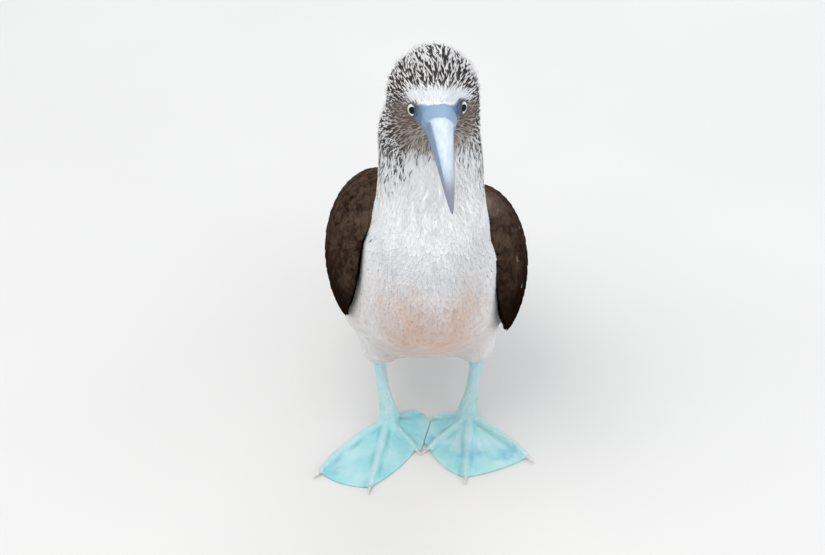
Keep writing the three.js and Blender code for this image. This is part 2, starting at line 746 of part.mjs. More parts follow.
for (const side of Object.keys(SIDES)) {
  const thighGeometry = thigh(side);
  addNode(`thigh_${side}`, solidOf(thighGeometry).subtract(bodyRoom), materials.white);
  let foot = solidOf(web(side)).add(solidOf(footRoot(side)));
  for (const spec of TOES[side]) {
    foot = foot.add(solidOf(toe(side, spec))).add(solidOf(claw(side, spec)));
  }
  foot = foot.subtract(underFloor).subtract(otherSide(side));
  const footRoom = solidOf(grown(footRoot(side), GAP));
  const shank = solidOf(tarsus(side));
  const thighRoom = solidOf(grown(thighGeometry, GAP));
  addNode(`leg_${side}`, shank.subtract(thighRoom).subtract(bodyRoom).subtract(footRoom), materials.blue);
  addNode(`foot_${side}`, foot.subtract(solidOf(grown(tarsus(side), GAP)).subtract(footRoom)), materials.blue);
}

const tailSolid = tail().subtract(bodyRoom);
addNode("tail", tailSolid, materials.tailBrown);
for (const side of Object.keys(SIDES)) {
  addNode(`wing_${side}`, wing(side).subtract(bodyRoom), materials.brown);
}

// The origin is the middle of the footprint, on the floor.
const box = new THREE.Box3().setFromObject(booby);
const middle = box.getCenter(new THREE.Vector3());
booby.position.set(-middle.x, -middle.y, -box.min.z);

export default booby;
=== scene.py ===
import math

import bpy
import numpy as np
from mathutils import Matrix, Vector
from mathutils.bvhtree import BVHTree
from mathutils.kdtree import KDTree


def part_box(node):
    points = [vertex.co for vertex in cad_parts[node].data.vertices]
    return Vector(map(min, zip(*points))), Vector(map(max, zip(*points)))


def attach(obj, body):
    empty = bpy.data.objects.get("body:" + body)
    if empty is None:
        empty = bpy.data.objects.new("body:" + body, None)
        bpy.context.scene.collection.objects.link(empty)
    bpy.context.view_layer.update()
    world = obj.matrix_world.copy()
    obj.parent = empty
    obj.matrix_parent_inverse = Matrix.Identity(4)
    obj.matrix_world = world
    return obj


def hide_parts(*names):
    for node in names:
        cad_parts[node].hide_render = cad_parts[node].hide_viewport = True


# A blue-footed booby, life size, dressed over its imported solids. The tables are in millimetres,
# in the frame that the solids are modelled in, and placed() turns them into the frame's metres.
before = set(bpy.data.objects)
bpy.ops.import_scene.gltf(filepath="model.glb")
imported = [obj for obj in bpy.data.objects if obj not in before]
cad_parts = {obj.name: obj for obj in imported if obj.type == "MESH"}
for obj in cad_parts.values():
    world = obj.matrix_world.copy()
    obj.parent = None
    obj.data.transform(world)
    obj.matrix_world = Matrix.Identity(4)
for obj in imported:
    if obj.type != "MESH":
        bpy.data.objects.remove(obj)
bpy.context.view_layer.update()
SIDES = {"left": 1, "right": -1}
MM = 0.001

# Body: z, front, back, half, shift, point, from the belly to the crown
BODY = [
    (78, 24, 24, 0.5, -2, 1),
    (80, -2, 50, 38, -2, 1),
    (90, -17, 76, 58, -2, 0.85),
    (105, -34, 91, 66.5, -3.5, 0.85),
    (125, -55, 97, 68, -3.5, 0.9),
    (147, -80, 93, 65, -3, 0.95),
    (171, -102, 82, 62, -2, 1),
    (197, -114, 66, 58.5, -1, 1),
    (223, -116, 48, 54.5, 0, 1),
    (248, -111, 29, 49.5, 0, 1),
    (272, -103, 10, 45, 1, 1),
    (296, -95, -8, 43, 1, 1),
    (320, -92, -17, 42, 1, 1),
    (342, -93, -23, 41, 0, 1.05),
    (361, -100, -27, 40, 0, 1.25),
    (379, -106, -29, 37, 2.2, 2.1),
    (395, -107, -31, 36, 2.2, 2.15),
    (409, -99, -36, 31, 2.2, 1.5),
    (420, -88, -45, 22, 2.2, 1),
    (427, -76, -55, 12, 2.2, 1),
    (428.5, -65, -65, 1, 2.2, 1),
]
WIDEST_SHARE = 0.54
HEAD_TURN = math.radians(5)
TURN_LOW, TURN_HIGH = 325, 370
HEAD_AXIS = (3, -66)

# Legs and feet
TOE_JOINT = {"left": (38, 2, 10), "right": (-36, -4, 10)}
ANKLE = {"left": (43, 12, 66), "right": (-43, 8, 66)}
THIGH_RISE = {"left": 4, "right": 7}
# Toes: angle, length, radius, rise, bow
TOES = {
    "left": [
        (45, 72, 4.3, 6.4, 5),
        (-4, 77, 4.6, 6.6, 0),
        (-44, 54, 4, 6.4, -2),
        (-100, 33, 3.4, 14, -3),
    ],
    "right": [
        (42.5, 88, 4.3, 6.4, 6),
        (10, 85, 4.6, 6.6, 0),
        (-37, 43, 4, 6.4, -2),
        (-124, 33, 3.4, 14, -3),
    ],
}
CLAW_LENGTH = 7.5
WEB_TOP = 2.4
WEB_BULGE = {"left": (0.05, 0.1, 0.2), "right": (0.07, 0.08, 0.6)}

# The line where the two feet's inner webs meet, and half the gap between them
FEET_MEET_X = 2.8
FEET_MEET_SLOPE = math.tan(math.radians(12.3))
FEET_GAP = 0.35

# Bill: along, top, bottom, half
BILL = [
    (-16, 5, -5, 4),
    (-13, 8.6, -12, 10),
    (-4, 10, -15, 13.6),
    (3, 10.4, -14.6, 13),
    (14, 10.4, -12.8, 10.2),
    (32, 9.2, -10.2, 8.3),
    (50, 7.3, -7.8, 6.5),
    (67, 5.4, -6, 4.9),
    (81, 3.6, -4.8, 3.5),
    (92, 1.2, -4, 2.1),
    (98, -1, -3.8, 1.1),
    (100.5, -3.1, -3.6, 0.2),
]
BILL_ROOT = (3, -104, 391)
BILL_LENGTH = 100.5
BILL_DROOP = math.radians(8.5)
# How far the pale ridge is turned towards the lit side: painted light and shade
PALE_LEAN_TO_LIGHT = 0.21
BILL_AROUND, BILL_ALONG = 96, 150

# Eyes: the balls, the lids' oval opening, and where the eyes and the pupils look
EYE_OUT, EYE_Y, EYE_Z, EYE_RADIUS = 15.4, -90, 391.5, 7
EYE_OPENING = 4.9
EYE_OVAL = (0.88, 1.1)
EYE_LOOK = (0.82, -0.54, 0.2)
# The pupil sits a little high, so its black also covers the top of the iris, a painted shadow of the brow
PUPIL_AHEAD, PUPIL_UP = 0.3, 0.06

# Wing: x, y, z, in, up, down, deep, from the wrist to the tip
WING = [
    (56, -62, 238, 55, 3, 4, 3),
    (69, -50, 229, 45, 36, 40, 15),
    (80, -27, 212, 42, 59, 63, 24),
    (85, 0, 191, 42, 66, 73, 27),
    (82, 33, 167, 41, 63, 70, 26),
    (75, 68, 145, 36, 46, 58, 20),
    (61, 106, 127, 29, 29, 42, 11),
    (47, 148, 112, 22, 17, 28, 6),
    (35, 193, 98, 17, 11, 18, 4),
    (25, 238, 85, 14, 6.5, 10, 2.5),
    (17, 280, 73, 16, 1, 1.5, 1),
]
WRAP_UP, WRAP_DOWN = math.radians(112), math.radians(50)
WING_DROOP = {"left": -10, "right": 6}
WING_OUT = {"left": -2.5, "right": 0.5}

# Tail
TAIL_ROOT = (-1, 84, 114)
TAIL_SLOPE = math.radians(20)
TAIL_FEATHERS = 14
TAIL_LONGEST, TAIL_SHORTEST = 222, 130
TAIL_FAN = math.radians(13)


# Numbers
def ease(low, high, value):
    share = np.clip((value - low) / (high - low), 0, 1)
    return share * share * (3 - 2 * share)


def length_of(vectors):
    return np.linalg.norm(vectors, axis=-1)


def unit(vectors):
    return vectors / np.maximum(length_of(vectors), 1e-9)[..., None]


def hump(value, middle, reach):
    """1 at its middle, falling away smoothly on both sides."""
    return np.exp(-((value - middle) / reach) ** 2)


def sample(rows, t):
    """Catmull-Rom through a table's rows, column by column."""
    table = np.array(rows, float)
    place = np.clip(t, 0, 1) * (len(table) - 1)
    i = np.minimum(place.astype(int), len(table) - 2)
    f = (place - i)[..., None]
    a, b, c, d = (table[np.clip(i + k, 0, len(table) - 1)] for k in (-1, 0, 1, 2))
    bend = (2 * a - 5 * b + 4 * c - d) * f + (3 * b - a - 3 * c + d) * f * f
    found = b + 0.5 * f * (c - a + bend)
    return np.moveaxis(found, -1, 0)


def turned(points):
    """The head's turn to the bird's left, which fades down the neck."""
    angle = HEAD_TURN * ease(TURN_LOW, TURN_HIGH, points[..., 2])
    x = points[..., 0] - HEAD_AXIS[0]
    y = points[..., 1] - HEAD_AXIS[1]
    new_x = HEAD_AXIS[0] + x * np.cos(angle) - y * np.sin(angle)
    new_y = HEAD_AXIS[1] + x * np.sin(angle) + y * np.cos(angle)
    return np.stack([new_x, new_y, points[..., 2]], -1)


def eye_centre(side):
    return turned(np.array([HEAD_AXIS[0] + SIDES[side] * EYE_OUT, EYE_Y, EYE_Z], float))


def eye_axes(side):
    """Where an eye looks, and the directions across and up its opening."""
    x, y, z = EYE_LOOK
    x *= SIDES[side]
    cos, sin = math.cos(HEAD_TURN), math.sin(HEAD_TURN)
    look = unit(np.array([x * cos - y * sin, x * sin + y * cos, z]))
    across = unit(np.cross([0, 0, 1], look))
    return look, across, np.cross(look, across)


def eye_offset(side, points):
    """How far points are ahead of the eye's middle, and how far aside, by the oval opening."""
    offset = points - eye_centre(side)
    look, across, upward = eye_axes(side)
    return offset @ look, np.hypot(offset @ across / EYE_OVAL[0], offset @ upward / EYE_OVAL[1])


# The frame's origin is under the middle of the bird's box. The left eye's node says where that is.
low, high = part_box("eye_left")
FRAME_SHIFT = np.array((low + high) / 2) / MM - eye_centre("left")


def placed(points):
    return (points + FRAME_SHIFT) * MM


def unplaced(points):
    return points / MM - FRAME_SHIFT


# Meshes
NO_QUADS = np.zeros((0, 4), int)
NO_TRIANGLES = np.zeros((0, 3), int)


def grid_quads(rows, columns, around=False, closed=False):
    """Quads over a grid of points, closed round its columns or from its last row to its first."""
    i, j = np.indices((rows if closed else rows - 1, columns if around else columns - 1))
    ahead, aside = (i + 1) % rows, (j + 1) % columns
    corners = [i * columns + j, ahead * columns + j, ahead * columns + aside, i * columns + aside]
    return np.stack(corners, -1).reshape(-1, 4)


def in_scene(name, data):
    thing = bpy.data.objects.new(name, data)
    bpy.context.scene.collection.objects.link(thing)
    return thing


def set_points(mesh, points):
    mesh.vertices.foreach_set("co", placed(points).astype(np.float32).ravel())
    mesh.update()


def mesh_of(name, points, quads, triangles=NO_TRIANGLES):
    corners = np.concatenate([quads.ravel(), triangles.ravel()]).astype(np.int32)
    starts = np.concatenate([np.arange(len(quads)) * 4, len(quads) * 4 + np.arange(len(triangles)) * 3])
    mesh = bpy.data.meshes.new(name)
    mesh.vertices.add(len(points))
    mesh.vertices.foreach_set("co", placed(points).astype(np.float32).ravel())
    mesh.loops.add(len(corners))
    mesh.loops.foreach_set("vertex_index", corners)
    mesh.polygons.add(len(starts))
    mesh.polygons.foreach_set("loop_start", starts.astype(np.int32))
    mesh.update(calc_edges=True)
    mesh.validate()
    mesh.polygons.foreach_set("use_smooth", np.ones(len(mesh.polygons), bool))
    return mesh


def piece(name, mesh, material, values=None):
    """A named object on the bird's one body, with numbers on its vertices for the material."""
    for key, numbers in (values or {}).items():
        attribute = mesh.attributes.new(key, "FLOAT", "POINT")
        attribute.data.foreach_set("value", np.asarray(numbers, np.float32).ravel())
    thing = in_scene(name, mesh)
    mesh.materials.append(material)
    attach(thing, "root")
    return thing


def rows_of(items, key, width, kind=np.float32):
    """Numbers that a mesh holds, as rows of an array."""
    flat = np.empty(len(items) * width, kind)
    items.foreach_get(key, flat)
    return flat.reshape(-1, width)


def points_of(mesh):
    return unplaced(rows_of(mesh.vertices, "co", 3).astype(float))


def normals_of(mesh):
    return rows_of(mesh.vertices, "normal", 3).astype(float)


def triangles_of(mesh):
    mesh.calc_loop_triangles()
    return rows_of(mesh.loop_triangles, "vertices", 3, np.int32)


def stations(around, along):
    """t from 0 to 1 and the angle round, on a grid of rings."""
    t = np.linspace(0, 1, along + 1)
    angle = np.arange(around) * (2 * math.pi / around)
    return np.meshgrid(t, angle, indexing="ij")


def ball(place, around, along):
    """A closed surface: place(t, angle) gives points for t from 0 to 1, pole to pole."""
    points = place(*stations(around, along))
    first, last = points[0].mean(0), points[-1].mean(0)
    rings = points[1:-1].reshape(-1, 3)
    ring = np.arange(around)
    ahead = (ring + 1) % around
    pole = np.full(around, len(rings))
    top = (along - 2) * around
    fans = [np.stack([pole, ring, ahead], -1), np.stack([pole + 1, top + ahead, top + ring], -1)]
    return np.vstack([rings, first, last]), grid_quads(along - 1, around, around=True), np.vstack(fans)


def ball_stations(around, along):
    """t and angle of each of a ball's points, in the order that ball gives them."""
    t, angle = stations(around, along)
    return np.append(t[1:-1].ravel(), [0, 1]), np.append(angle[1:-1].ravel(), [0, 0])


def slab(place, along, across):
    """A closed slab: place(u, v, top) gives its two faces for u and v from 0 to 1."""
    u, v = np.meshgrid(np.linspace(0, 1, along + 1), np.linspace(0, 1, across + 1), indexing="ij")
    points = np.vstack([place(u, v, True).reshape(-1, 3), place(u, v, False).reshape(-1, 3)])
    upper = grid_quads(along + 1, across + 1)
    count = u.size
    index = np.arange(count).reshape(u.shape)
    rim = np.concatenate([index[:-1, 0], index[-1, :-1], index[:0:-1, -1], index[0, :0:-1]])
    after = np.roll(rim, -1)
    edge = np.stack([rim, rim + count, after + count, after], -1)
    return points, np.vstack([upper, upper[:, ::-1] + count, edge]), NO_TRIANGLES


def loft(rows, around, along, up):
    """A closed tube along rows of x, y, z, side and deep half sizes."""
    step = 0.01
    thinnest = 0.02

    def place(t, angle):
        x, y, z, side, deep = sample(rows, t)
        ahead = np.stack(sample(rows, np.clip(t + step, 0, 1))[:3], -1)
        ahead = unit(ahead - np.stack(sample(rows, np.clip(t - step, 0, 1))[:3], -1))
        aside = unit(np.cross(ahead, np.array(up, float)))
        inward = unit(np.cross(aside, ahead))
        side = np.maximum(side, thinnest)[..., None] * np.cos(angle)[..., None]
        deep = np.maximum(deep, thinnest)[..., None] * np.sin(angle)[..., None]
        return np.stack([x, y, z], -1) + aside * side + inward * deep

    return ball(place, around, along)


def joined(shells):
    """Several shells of points, quads and triangles as one."""
    points, quads, triangles, start = [], [], [], 0
    for shell_points, shell_quads, shell_triangles in shells:
        points.append(shell_points)
        quads.append(shell_quads + start)
        triangles.append(shell_triangles + start)
        start += len(shell_points)
    return np.vstack(points), np.vstack(quads), np.vstack(triangles)


def outward(mesh):
    """Turns the faces round where they point inwards."""
    corners = points_of(mesh)[triangles_of(mesh)]
    volume = np.einsum("ij,ij->i", corners[:, 0], np.cross(corners[:, 1], corners[:, 2])).sum()
    if volume < 0:
        mesh.flip_normals()


def fused(name, shells, voxel, rounds):
    """One closed skin round several closed shells, with the joins between them rounded."""
    parts = []
    for shell in shells:
        mesh = mesh_of(name, *shell)
        outward(mesh)
        parts.append((points_of(mesh), NO_QUADS, triangles_of(mesh)))
        bpy.data.meshes.remove(mesh)
    thing = in_scene(name, mesh_of(name, *joined(parts)))
    remesh = thing.modifiers.new("skin", "REMESH")
    remesh.mode = "VOXEL"
    remesh.voxel_size = voxel * MM
    rounding = thing.modifiers.new("round", "SMOOTH")
    rounding.iterations = rounds
    graph = bpy.context.evaluated_depsgraph_get()
    done = bpy.data.meshes.new_from_object(thing.evaluated_get(graph))
    bpy.data.objects.remove(thing)
    done.polygons.foreach_set("use_smooth", np.ones(len(done.polygons), bool))
    return done


# Materials
class Surface:
    """A procedural material, built node by node on one shader."""

    def __init__(self, name, roughness, **constants):
        self.material = bpy.data.materials.new(name)
        self.material.use_nodes = True
        self.tree = self.material.node_tree
        self.shader = self.tree.nodes["Principled BSDF"]
        self.shader.inputs["Roughness"].default_value = roughness
        for key, value in constants.items():
            self.shader.inputs[key.replace("_", " ")].default_value = value
        self.place = self.tree.nodes.new("ShaderNodeTexCoord").outputs["Object"]

    def give(self, socket, value):
        if isinstance(value, bpy.types.NodeSocket):
            self.tree.links.new(value, socket)
        elif isinstance(value, tuple) and socket.type == "RGBA":
            socket.default_value = (*value, 1)
        else:
            socket.default_value = value

    def node(self, kind, output, inputs, **settings):
        """One output of a new node, with its settings and inputs given."""
        node = self.tree.nodes.new("ShaderNode" + kind)
        for key, setting in settings.items():
            setattr(node, key, setting)
        for key, value in inputs.items():
            self.give(node.inputs[key], value)
        return node.outputs[output]

    def value(self, name):
        return self.node("Attribute", "Fac", {}, attribute_name=name)

    def maths(self, operation, *values):
        return self.node("Math", 0, dict(enumerate(values)), operation=operation)

    def times(self, a, b):
        return self.maths("MULTIPLY", a, b)

    def plus(self, a, b):
        return self.maths("ADD", a, b)

    def minus(self, a, b):
        return self.maths("SUBTRACT", a, b)

    def between(self, value, low, high, to_low=0.0, to_high=1.0):
        numbers = dict(enumerate((value, low, high, to_low, to_high)))
        return self.node("MapRange", 0, numbers, interpolation_type="SMOOTHSTEP")

    def stretched(self, scale):
        return self.node("Mapping", 0, {"Vector": self.place, "Scale": scale})

    def noise(self, scale, detail=3.0, place=None):
        inputs = {"Vector": place or self.place, "Scale": scale, "Detail": detail, "Roughness": 0.55}
        return self.node("TexNoise", "Fac", inputs)

    def cell_edges(self, scale):
        inputs = {"Vector": self.place, "Scale": scale}
        return self.node("TexVoronoi", "Distance", inputs, feature="DISTANCE_TO_EDGE")

    def mixed(self, factor, a, b):
        return self.node("Mix", 2, {0: factor, 6: a, 7: b}, data_type="RGBA")

    def mottled(self, a, b, scale, detail, low, high, most=1.0):
        """a with spots of b."""
        return self.mixed(self.between(self.noise(scale, detail), low, high, 0.0, most), a, b)

    def bump(self, height, distance):
        bent = self.node("Bump", 0, {"Distance": distance * MM, "Height": height})
        self.give(self.shader.inputs["Normal"], bent)

    def colour(self, socket):
        self.give(self.shader.inputs["Base Color"], socket)
        return self.material


# Colours of the coat, the wings and the tail, the bare face, the bill, the eyes and the feet
WHITE = (0.96, 0.965, 0.97)
GREY = (0.76, 0.765, 0.78)
# Beige of the belly: partly its own tint, partly painted warm light bounced up from the ground
BEIGE = (0.73, 0.52, 0.42)
WHITE_SHADE = (0.55, 0.55, 0.57)
WHITE_DUST = (0.50, 0.47, 0.45)
WHITE_STREAKED = (0.60, 0.56, 0.52)
DARK = (0.045, 0.036, 0.032)
TAUPE = (0.19, 0.145, 0.12)
TAUPE_TIP = (0.46, 0.40, 0.36)
# The wings' darkest brown is painted shade for their lower parts, and the next one is painted light for
# their upper parts; the tail takes that lighter brown as its own
BROWN_SHADED = (0.008, 0.0035, 0.002)
BROWN_HIGH = (0.062, 0.038, 0.026)
BROWN_EDGE = (0.12, 0.078, 0.055)
BROWN_PATCH = (0.24, 0.18, 0.15)
BROWN_SHAFT = (0.008, 0.005, 0.004)
BROWN_SPECK = (0.50, 0.45, 0.42)
TAIL_EDGE = (0.14, 0.10, 0.08)
SLATE = (0.085, 0.13, 0.21)
SLATE_PALE = (0.16, 0.24, 0.36)
SLATE_DARK = (0.035, 0.045, 0.07)
BLUE = (0.235, 0.355, 0.50)
HORN = (0.66, 0.74, 0.82)
HORN_STREAK = (0.49, 0.60, 0.71)
HORN_FAR = (0.42, 0.48, 0.55)
# The bill's dark flanks: partly the horn's own slate, partly painted shade on the sides turned from the
# light
HORN_SIDE = (0.13, 0.19, 0.29)
HORN_SIDE_STREAK = (0.22, 0.31, 0.43)
HORN_TIP = (0.21, 0.22, 0.28)
IRIS = (0.66, 0.68, 0.58)
IRIS_SPOKE = (0.84, 0.86, 0.78)
IRIS_RIM = (0.03, 0.03, 0.035)
PUPIL = (0.003, 0.003, 0.003)
LID = (0.045, 0.06, 0.09)
LID_FOLD = (0.09, 0.12, 0.18)
TEAL = (0.38, 0.82, 0.86)
TEAL_PALE = (0.62, 0.92, 0.94)
TEAL_BLUE = (0.16, 0.50, 0.72)
TEAL_GREEN = (0.50, 0.88, 0.74)
TEAL_WORN = (0.66, 0.90, 0.88)
TEAL_TOE = (0.76, 0.88, 0.90)
TEAL_CREASE_SHADE = (0.10, 0.42, 0.50)
TEAL_LINE = (0.10, 0.34, 0.40)
CLAW = (0.72, 0.70, 0.66)
CLAW_WORN = (0.45, 0.43, 0.41)
FLOOR = (0.70, 0.69, 0.67)
FLOOR_PALE = (0.72, 0.71, 0.69)


def barbs(s, amount):
    """Fine slanting barbs on both sides of a feather's shaft, as bump."""
    across = s.maths("ABSOLUTE", s.value("across"))
    ripple = s.maths("SINE", s.plus(s.times(across, 9.0), s.times(s.value("along"), -42.0)))
    s.bump(s.plus(ripple, s.between(across, 0.0, 0.1, 1.6, 0.0)), amount)
    return across


def plumage_material():
    """Body feathers: white or dark brown with a white point, by the numbers each one carries."""
    s = Surface("plumage", 0.9, Specular_IOR_Level=0.15, Subsurface_Weight=0.3, Subsurface_Scale=0.002,
                Subsurface_Radius=(1, 1, 1))
    across = barbs(s, 0.05)
    dark, face, shade = s.value("dark"), s.value("face"), s.value("shade")
    from_tip = s.minus(s.plus(s.value("along"), s.times(across, 0.12)), s.minus(1.0, s.value("tip")))
    pale = s.between(from_tip, -0.07, 0.07)
    streak = s.between(s.minus(across, s.value("streak")), -0.15, 0.15, 1.0, 0.0)
    # Warm beige on the belly: partly its own tint, partly painted warm light bounced up from the ground
    warm = s.times(s.value("warm"), s.between(s.noise(38.0), 0.35, 0.65, 0.7, 1.0))
    white = s.mixed(warm, s.mixed(s.value("grey"), WHITE, GREY), BEIGE)
    white = s.mottled(white, WHITE_SHADE, 55.0, 5.0, 0.38, 0.7, 0.2)
    white = s.mixed(s.between(shade, 0.0, 1.0, 0.07, 0.0), white, WHITE_DUST)
    white = s.mixed(s.times(dark, 0.3), white, WHITE_STREAKED)
    white = s.mixed(face, white, TAUPE_TIP)
    taupe = s.mixed(s.between(shade, 0.0, 0.5, 0.6, 0.0), TAUPE, DARK)
    covered = s.times(s.times(dark, streak), s.minus(1.0, pale))
    return s.colour(s.mixed(covered, white, s.mixed(face, DARK, taupe)))


def skin_material():
    """The skin under the coat, in the coat's own colours, and bare blue-grey round the bill."""
    s = Surface("skin", 0.55, Specular_IOR_Level=0.3)
    # The same warm beige, partly painted bounced light, on the skin under the belly's coat
    white = s.mixed(s.value("warm"), s.mixed(s.value("grey"), WHITE, GREY), BEIGE)
    coat = s.mixed(s.value("dark"), white, s.mixed(s.value("face"), DARK, TAUPE))
    blue = s.mixed(s.value("root"), s.mottled(SLATE, SLATE_PALE, 900.0, 3.0, 0.3, 0.7), BLUE)
    # Dark slate at the gape, and as painted shadow of the brow above the eyes
    blue = s.mixed(s.value("gape"), blue, SLATE_DARK)
    s.bump(s.noise(700.0, 4.0), 0.35)
    return s.colour(s.mixed(s.value("bare"), coat, blue))


def wing_material(name, low, high, edge, tip_white):
    """Flight and covert feathers: brown, paler at the edges, with a dark shaft, and lighter above than
    below by the light attribute, a painted light and shade.
    """
    s = Surface(name, 0.65, Specular_IOR_Level=0.0)
    across = barbs(s, 0.08)
    along, light = s.value("along"), s.value("light")
    rim = s.maths("MAXIMUM", s.between(across, 0.75, 1.0), s.between(along, 0.93, 1.0))
    blotch = s.between(s.noise(160.0, 4.0), 0.38, 0.62, 0.85, 0.0)
    # Painted light and shade: lit brown above and shaded brown below, by the light attribute, with dark
    # blotches over it
    body = s.mixed(blotch, s.mixed(light, low, high), low)
    # Paler patches and paler feather edges, both stronger where the light attribute is high: partly the
    # feathers' own wear and pale edges, partly a painted highlight on the lit upper wing
    wear_and_highlight = s.times(s.between(s.noise(42.0, 4.0), 0.50, 0.66), light)
    body = s.mixed(s.times(wear_and_highlight, 0.5), body, edge)
    paler = s.plus(s.times(light, 0.25), 0.03)
    body = s.mixed(s.times(s.maths("MAXIMUM", s.value("shade"), rim), paler), body, edge)
    body = s.mixed(s.between(across, 0.0, 0.08, 0.6, 0.0), body, BROWN_SHAFT)
    body = s.mixed(s.value("patch"), body, BROWN_PATCH)
    speck = s.times(s.between(along, 0.84, 0.97), s.value("tip"))
    return s.colour(s.mixed(s.times(speck, tip_white), body, BROWN_SPECK))


def bill_material():
    """Horn: blue at its root, dark slate flanks, pale along the ridge, grey at the tip. The dark flanks are
    partly painted shade, and the pale ridge leans to the lit side as painted light.
    """
    s = Surface("bill_horn", 0.42, Specular_IOR_Level=0.35, Coat_Weight=0.12, Coat_Roughness=0.3)
    along, ridge = s.value("along"), s.value("ridge")
    streak = s.noise(160.0, 4.0, s.stretched((3.0, 0.35, 3.0)))
    ragged = s.minus(s.plus(along, s.times(streak, 0.05)), s.times(ridge, 0.055))
    root = s.between(ragged, 0.075, 0.105, 1.0, 0.0)
    pale = s.mixed(s.between(streak, 0.35, 0.7), HORN, HORN_STREAK)
    pale = s.mixed(s.between(along, 0.3, 0.75, 0.0, 0.45), pale, HORN_FAR)
    pale = s.mixed(root, pale, BLUE)
    side = s.mixed(s.between(streak, 0.3, 0.8), HORN_SIDE, HORN_SIDE_STREAK)
    # Pale ridge against dark flanks: partly the horn's own colours, partly painted light and shade
    horn = s.mixed(s.between(s.plus(ridge, s.times(root, 0.3)), 0.46, 0.70), side, pale)
    s.bump(s.plus(streak, s.noise(1100.0, 2.0)), 0.25)
    return s.colour(s.mixed(s.between(along, 0.60, 0.88), horn, HORN_TIP))


def eye_material():
    """Black pupil, pale yellow iris with fine spokes, dark rim; polar is the angle from the pupil."""
    s = Surface("eye", 0.08, Specular_IOR_Level=0.12, Coat_Weight=0.12, Coat_Roughness=0.02)
    opening = s.value("opening")
    iris = s.mottled(IRIS, IRIS_SPOKE, 1500.0, 3.0, 0.3, 0.7)
    rim = s.mixed(s.between(opening, 0.92, 0.98), iris, IRIS_RIM)
    rim = s.mixed(s.between(opening, 1.04, 1.12), rim, SLATE)
    return s.colour(s.mixed(s.between(s.value("polar"), 0.40, 0.43), PUPIL, rim))


def lid_material():
    s = Surface("lid", 0.5)
    fold = s.noise(1400.0)
    s.bump(fold, 0.3)
    return s.colour(s.mixed(s.between(fold, 0.3, 0.7), LID, LID_FOLD))


def foot_material():
    """Turquoise skin with paler toes, partly a painted highlight, fine scales, bluer blotches in the webs,
    and painted shade in the creases beside the toes.
    """
    s = Surface("foot_skin", 0.45, Subsurface_Weight=0.08, Coat_Weight=0.12, Coat_Roughness=0.4)
    toe = s.value("toe")
    teal = s.mottled(TEAL, TEAL_PALE, 38.0, 4.0, 0.35, 0.68)
    teal = s.mottled(teal, TEAL_BLUE, 30.0, 3.0, 0.56, 0.70, 0.5)
    teal = s.mottled(teal, TEAL_GREEN, 22.0, 2.0, 0.50, 0.66, 0.6)
    teal = s.mottled(teal, TEAL_WORN, 230.0, 4.0, 0.52, 0.75, 0.4)
    # Paler toes and legs: on the toes partly a painted highlight along them, on the legs their own paler
    # skin
    teal = s.mixed(s.times(toe, 0.55), teal, TEAL_TOE)
    # Painted shade in the creases beside the toes, and the same darker teal at the top of the leg
    teal = s.mixed(s.times(s.value("fold"), 0.4), teal, TEAL_CREASE_SHADE)
    scales = s.cell_edges(520.0)
    line = s.between(scales, 0.0, 0.09, 0.3, 0.0)
    s.bump(s.plus(s.between(scales, 0.0, 0.12), s.noise(90.0, 5.0)), 0.5)
    return s.colour(s.mixed(s.times(line, s.between(toe, 0.1, 0.6)), teal, TEAL_LINE))


def claw_material():
    s = Surface("claw", 0.4, Coat_Weight=0.3)
    return s.colour(s.mottled(CLAW, CLAW_WORN, 400.0, 3.0, 0.35, 0.7))


def floor_material():
    s = Surface("floor", 0.9)
    return s.colour(s.mottled(FLOOR, FLOOR_PALE, 3.0, 2.0, 0.3, 0.7))


# Body
def body_point(t, angle):
    z, front, back, half, shift, point = sample(BODY, t)
    middle = front + (back - front) * WIDEST_SHARE
    ahead, out = np.cos(angle), np.sin(angle)
    reach = np.where(ahead > 0, middle - front, back - middle)
    power = np.where(ahead > 0, point, 1)
    out = np.sign(out) * np.abs(out) ** power
    return turned(np.stack([shift + half * out, middle - reach * ahead, z], -1))


# Thigh, from the ankle up: inward, back, up, wide, deep
THIGH = [
    (0, 0, -3, 0.5, 0.5),
    (0, 0, -2, 6.6, 7),
    (0, -1, 6, 12, 14),
    (1, -4, 18, 18, 22),
    (3, -8, 36, 20, 28),
    (6, -12, 56, 15, 24),
    (8, -14, 66, 0.5, 0.5),
]


def thigh(side):
    x, y, z = ANKLE[side]
    rows = []
    for inward, back, up, wide, deep in THIGH:
        rise = THIGH_RISE[side] * (1 - ease(0, 36, up))
        rows.append((x - SIDES[side] * inward, y + back, z + up + rise, wide, deep))
    return loft(rows, 40, 40, (0, 1, 0))


def tail_point(along, side, high):
    return np.stack([
        TAIL_ROOT[0] + side,
        TAIL_ROOT[1] + along * math.cos(TAIL_SLOPE) + high * math.sin(TAIL_SLOPE),
        TAIL_ROOT[2] - along * math.sin(TAIL_SLOPE) + high * math.cos(TAIL_SLOPE),
    ], -1)


# The body's end under the tail's feathers: along, half, deep
RUMP = [(-20, 1, 1), (-16, 26, 20), (20, 26, 17), (60, 19, 9), (95, 12, 4), (112, 0.6, 0.5)]


def tail_core():
    def place(t, angle):
        along, half, deep = sample(RUMP, t)
        return tail_point(along, half * np.sin(angle), deep * np.cos(angle) - 1)

    return ball(place, 48, 40)


# Bill
def bill_place(along, side, high):
    cos, sin = math.cos(BILL_DROOP), math.sin(BILL_DROOP)
    return turned(np.stack([
        BILL_ROOT[0] + side,
        BILL_ROOT[1] - along * cos - high * sin,
        BILL_ROOT[2] - along * sin + high * cos,
    ], -1))


def mouth_height(along):
    return -4.2 + 1.9 * ease(0, 60, along) - 1.6 * ease(70, BILL_LENGTH, along)


# Half the gap between the bill's halves, and the groove along each of its sides
MOUTH_GAP = 0.18
GROOVE_DEEP, GROOVE_PLACE, GROOVE_WIDE = 0.35, 0.42, 0.10


